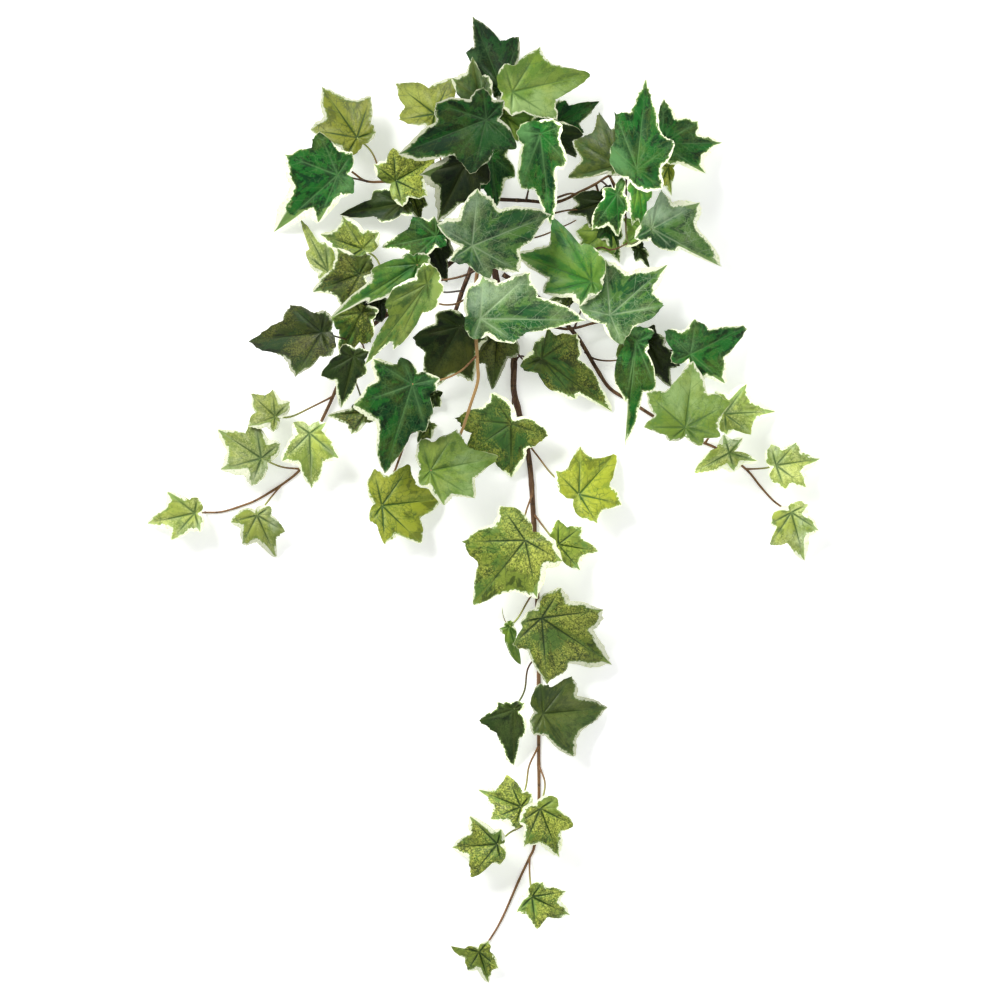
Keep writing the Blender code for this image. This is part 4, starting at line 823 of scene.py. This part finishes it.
LOOKS = {
    "deep": leaf_look(
        (30, 92, 34), (18, 58, 28), (8, 26, 12), (90, 136, 80), (84, 104, 42), (104, 144, 88),
        0.5, 0.3, 0.4, 0.28, 0.11, 0.10),
    # shadow: darker colours for leaves that lie in shade inside the bunch, painted shade
    "shadow": leaf_look(
        (34, 52, 20), (24, 44, 18), (12, 20, 9), (92, 98, 40), (66, 80, 38), (56, 74, 38),
        0.4, 0.3, 0.35, 0.3, 0.09, 0.14),
    "fresh": leaf_look(
        (58, 126, 44), (92, 138, 44), (30, 88, 36), (134, 168, 66), (118, 150, 64), (26, 80, 36),
        0.5, 0.0, 0.2, 0.5, 0.12, 0.26),
    "silver": leaf_look(
        (34, 84, 38), (74, 114, 48), (16, 46, 24), (140, 164, 132), (128, 150, 96), (156, 178, 138),
        0.55, 0.3, 0.45, 0.45, 0.15, 0.2),
    "mosaic": leaf_look(
        (112, 130, 46), (88, 120, 48), (48, 62, 20), (148, 170, 92), (186, 194, 84), (30, 56, 24),
        0.35, 1.0, 0.25, 0.9, 0.16, 0.22),
    "olive": leaf_look(
        (66, 84, 28), (46, 80, 32), (26, 36, 12), (114, 136, 64), (134, 140, 58), (22, 40, 16),
        0.45, 0.8, 0.3, 0.6, 0.13, 0.2),
    "moss": leaf_look(
        (72, 104, 42), (92, 110, 40), (42, 68, 26), (124, 146, 72), (134, 146, 72), (38, 62, 26),
        0.5, 0.12, 0.25, 0.5, 0.14, 0.24),
    "lime": leaf_look(
        (122, 152, 52), (104, 142, 52), (82, 114, 40), (160, 190, 118), (166, 184, 86), (66, 104, 50),
        0.4, 0.15, 0.3, 0.6, 0.10, 0.26),
    "gold": leaf_look(
        (146, 156, 46), (124, 140, 44), (90, 102, 30), (174, 188, 90), (182, 186, 78), (38, 76, 32),
        0.4, 0.35, 0.3, 0.85, 0.10, 0.24),
    "pale": leaf_look(
        (156, 170, 74), (130, 150, 64), (96, 114, 48), (188, 204, 166), (204, 212, 134), (66, 94, 50),
        0.5, 0.5, 0.35, 0.8, 0.24, 0.24),
}


# ------------------------------------------------------------------ bark and cut wood
def bark_finish():
    paint = Paint("bark", 0.62, 0.35)
    walked, grown = paint.value("walked"), paint.value("grown")
    spot = paint.node("ShaderNodeTexCoord", {}, {}, "Object")
    stretched = paint.node("ShaderNodeMapping", {}, {"Vector": spot, "Scale": (900, 160, 900)})
    long_grain = paint.noise(stretched, 1.0, 3.0)
    young = paint.ease(grown + long_grain * 0.3, 0.35, 1.0)
    shade = paint.mix(young, colour(66, 42, 30), colour(126, 92, 60))
    shade = paint.mix(paint.ease(long_grain, 0.5, 0.75) * 0.6, shade, colour(150, 116, 82))
    ring = paint.node("ShaderNodeMath", {"operation": "PINGPONG"}, {0: walked / JOINT_STEP, 1: 0.5})
    shade = paint.mix(paint.ease(ring, 0.05, 0.0) * 0.6, shade, colour(44, 30, 20))
    paint.feed("Base Color", shade)
    paint.feed("Roughness", long_grain * 0.3 + 0.48)
    paint.feed("Normal", paint.bump(long_grain, 0.6, 0.0005))
    return paint.material


def tan_finish():
    paint = Paint("tan_bark", 0.55, 0.4)
    grown = paint.value("grown")
    spot = paint.node("ShaderNodeTexCoord", {}, {}, "Object")
    grain = paint.noise(spot, 900.0, 3.0)
    shade = paint.mix(paint.ease(grown + grain * 0.4, 0.2, 0.9), colour(112, 72, 40), colour(176, 140, 88))
    paint.feed("Base Color", paint.mix(paint.ease(grain, 0.55, 0.8) * 0.5, shade, colour(200, 170, 120)))
    paint.feed("Roughness", grain * 0.3 + 0.4)
    paint.feed("Normal", paint.bump(grain, 0.4, 0.0004))
    return paint.material


def stalk_finish(name, foot, top):
    """A stalk runs from bark brown at its foot to the colour of its blade."""
    paint = Paint(name, 0.5, 0.4)
    grown = paint.value("grown")
    spot = paint.node("ShaderNodeTexCoord", {}, {}, "Object")
    grain = paint.noise(spot, 1100.0, 2.0)
    paint.feed("Base Color", paint.mix(paint.ease(grown + grain * 0.25, 0.35, 1.05), foot, top))
    paint.feed("Roughness", grain * 0.25 + 0.38)
    paint.feed("Normal", paint.bump(grain, 0.3, 0.0003))
    return paint.material


def cut_wood_finish():
    paint = Paint("cut_wood", 0.7, 0.3)
    spot = paint.node("ShaderNodeTexCoord", {}, {}, "Object")
    grain = paint.noise(spot, 1500.0, 3.0)
    paint.feed("Base Color", paint.mix(grain, colour(150, 128, 84), colour(206, 190, 146)))
    paint.feed("Roughness", grain * 0.2 + 0.6)
    paint.feed("Normal", paint.bump(grain, 0.5, 0.0004))
    return paint.material


FINISHES = {name: leaf_finish("leaf_" + name, look) for name, look in LOOKS.items()}
BARK, TAN, CUT_WOOD = bark_finish(), tan_finish(), cut_wood_finish()
STALKS = {
    "dark": stalk_finish("stalk_dark", colour(78, 48, 34), colour(96, 110, 56)),
    "light": stalk_finish("stalk_light", colour(128, 92, 58), colour(168, 180, 96)),
}
LIGHT_LEAVES = ("mosaic", "lime", "gold", "pale")


# ------------------------------------------------------------------ pieces
def finish_piece(piece, node):
    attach(piece, "root")
    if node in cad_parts:
        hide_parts(node)


def build_shoot(shoot, lie_map):
    """A shoot with slightly swollen joints where its leaves once sat."""
    route = smooth_route(shoot.route, SHOOT_STEP)

    def radius_at(share, walked):
        swelling = 1 + 0.14 * math.exp(-((walked % JOINT_STEP - JOINT_STEP / 2) / 0.2) ** 2)
        return (shoot.start + (shoot.end - shoot.start) * share) * swelling

    surface = Surface()
    add_tube(surface, route, radius_at, SHOOT_SIDES, 0, 1)
    skin = TAN if shoot.name == "front_shoot" else BARK
    piece = surface.build(shoot.name + "_bark", [skin, CUT_WOOD])
    finish_piece(piece, shoot.name)
    fine = smooth_route(shoot.route, CELL)
    x, y, z = np.array([tuple(point) for point in fine]).T
    lie_map.lay(x, y, z + shoot.start)


def nearest_on_shoot(shoot, foot):
    """Point of the centre line nearest to a place seen from above, the heading and the radius there."""
    route = smooth_route(shoot.route, CELL)
    index = min(range(len(route)), key=lambda item: (route[item].xy - Vector(foot)).length)
    heading = route[min(index + 1, len(route) - 1)] - route[max(index - 1, 0)]
    radius = shoot.start + (shoot.end - shoot.start) * index / (len(route) - 1)
    return route[index], heading.normalized(), radius


def stalk_route(row, base_height):
    """Centre line of the stalk, from inside the bark to the base of the blade."""
    shoot = next(item for item in SHOOTS if item.name == row.shoot)
    foot, heading, bark = nearest_on_shoot(shoot, row.foot)
    base = Vector((*row.base, base_height))
    plan = [foot.xy] + [Vector(point[:2]) for point in row.via] + [base.xy]
    lengths = [0.0]
    for start, end in zip(plan, plan[1:]):
        lengths.append(lengths[-1] + max((end - start).length, 0.01))
    points = []
    for place, length in zip(plan, lengths):
        share = length / lengths[-1]
        points.append(Vector((*place, foot.z + (base.z - foot.z) * share)))
    outward = points[1] - points[0]
    outward -= heading * outward.dot(heading)
    points[0] = points[0] + outward.normalized() * (bark - FOOT_SINK)
    return smooth_route(points, STALK_STEP)


def stalk_radius(share, walked):
    """A stalk is thicker at its foot and just under the blade."""
    return STALK_RADIUS * (1 + 0.45 * math.exp(-walked / 0.25) + 0.2 * share ** 6)


def build_leaf(row, height, dice):
    """A leaf with its stalk; height is that of the blade's base."""
    surface = Surface()
    add_blade(surface, row, height, dice)
    add_tube(surface, stalk_route(row, height), stalk_radius, STALK_SIDES, 1)
    stalk = STALKS["light" if row.finish in LIGHT_LEAVES else "dark"]
    if row.shoot == "front_shoot":
        stalk = TAN           # a stalk on the tan shoot has its colour
    piece = surface.build(row.name + "_blade", [FINISHES[row.finish], stalk])
    finish_piece(piece, row.name)


def build_twig(twig):
    """A thin bare twig that shows between the leaves."""
    surface = Surface()
    add_tube(surface, smooth_route(twig.route, STALK_STEP),
             lambda share, walked: twig.start + (twig.end - twig.start) * share, STALK_SIDES, 0)
    piece = surface.build(twig.name + "_bark", [STALKS["light"] if twig.name == "tendril" else BARK])
    finish_piece(piece, twig.name)


def build_bunch():
    lie_map = LieMap()
    dice = np.random.default_rng(SEED)
    shoots = {shoot.name: shoot for shoot in SHOOTS}
    front = shoots.pop("front_shoot")
    for shoot in shoots.values():
        build_shoot(shoot, lie_map)
    for row in LEAVES_UNDER + LEAVES_LOW:
        build_leaf(row, settle(row, lie_map), dice)
    build_shoot(front, lie_map)
    for row in LEAVES_FRONT:
        build_leaf(row, settle(row, lie_map), dice)
    for height, row in FILLERS:
        build_leaf(row, height, dice)
    for twig in TWIGS:
        build_twig(twig)


# ------------------------------------------------------------------ floor, light and camera (m)
FLOOR_HALF = 14.0
FLOOR_GLOW = 0.38             # lifts the shadows on the floor
SKY_STRENGTH = 0.46
WHITE = (1.0, 1.0, 1.0, 1.0)


def build_floor():
    paint = Paint("floor", 0.9, 0.1)
    spot = paint.node("ShaderNodeTexCoord", {}, {}, "Object")
    grain = paint.noise(spot, 40.0, 2.0)
    paint.feed("Base Color", paint.mix(grain * 0.05, (0.93, 0.93, 0.93, 1.0), (0.88, 0.88, 0.88, 1.0)))
    paint.shader.inputs["Emission Color"].default_value = WHITE
    paint.shader.inputs["Emission Strength"].default_value = FLOOR_GLOW
    data = bpy.data.meshes.new("floor")
    half = FLOOR_HALF
    corners = [(-half, -half, 0), (half, -half, 0), (half, half, 0), (-half, half, 0)]
    data.from_pydata(corners, [], [(0, 1, 2, 3)])
    data.materials.append(paint.material)
    floor = bpy.data.objects.new("floor", data)
    bpy.context.collection.objects.link(floor)


def add_lamp(name, place, size, power, tint):
    """A square soft box that faces the middle of the bunch."""
    lamp = bpy.data.lights.new(name, "AREA")
    lamp.size, lamp.energy, lamp.color = size, power, tint
    holder = bpy.data.objects.new(name, lamp)
    holder.location = place
    holder.rotation_euler = (Vector((0.0, 0.05, 0.0)) - Vector(place)).to_track_quat("-Z", "Y").to_euler()
    holder.visible_camera = False
    bpy.context.collection.objects.link(holder)


def build_light():
    world = bpy.data.worlds.new("studio")
    bpy.context.scene.world = world
    world.use_nodes = True
    sky = world.node_tree.nodes["Background"]
    sky.inputs["Color"].default_value = WHITE
    sky.inputs["Strength"].default_value = SKY_STRENGTH
    add_lamp("key", (-1.4, 1.3, 1.7), 1.1, 60.0, (1.0, 0.99, 0.96))
    add_lamp("fill", (1.6, -0.6, 1.6), 1.4, 12.0, (0.96, 0.98, 1.0))
    add_lamp("glint", (-1.0, 1.1, 1.9), 0.3, 9.0, (0.92, 0.96, 1.0))
    bpy.context.scene.view_settings.view_transform = "Standard"


CAMERA_HEIGHT = 8.0
FRAME_WIDTH = 0.72            # how much the picture takes in, at the height of the middle leaves
FRAME_MIDDLE = (0.011, -0.001, 0.03)
SENSOR = 36.0                 # width in mm


def build_camera():
    data = bpy.data.cameras.new("camera")
    data.sensor_width = SENSOR
    data.lens = SENSOR * CAMERA_HEIGHT / FRAME_WIDTH
    data.clip_end = 40.0
    camera = bpy.data.objects.new("camera", data)
    camera.location = Vector(FRAME_MIDDLE) + Vector((0.0, 0.0, CAMERA_HEIGHT))
    bpy.context.collection.objects.link(camera)
    bpy.context.scene.camera = camera


build_camera()
build_bunch()
build_floor()
build_light()
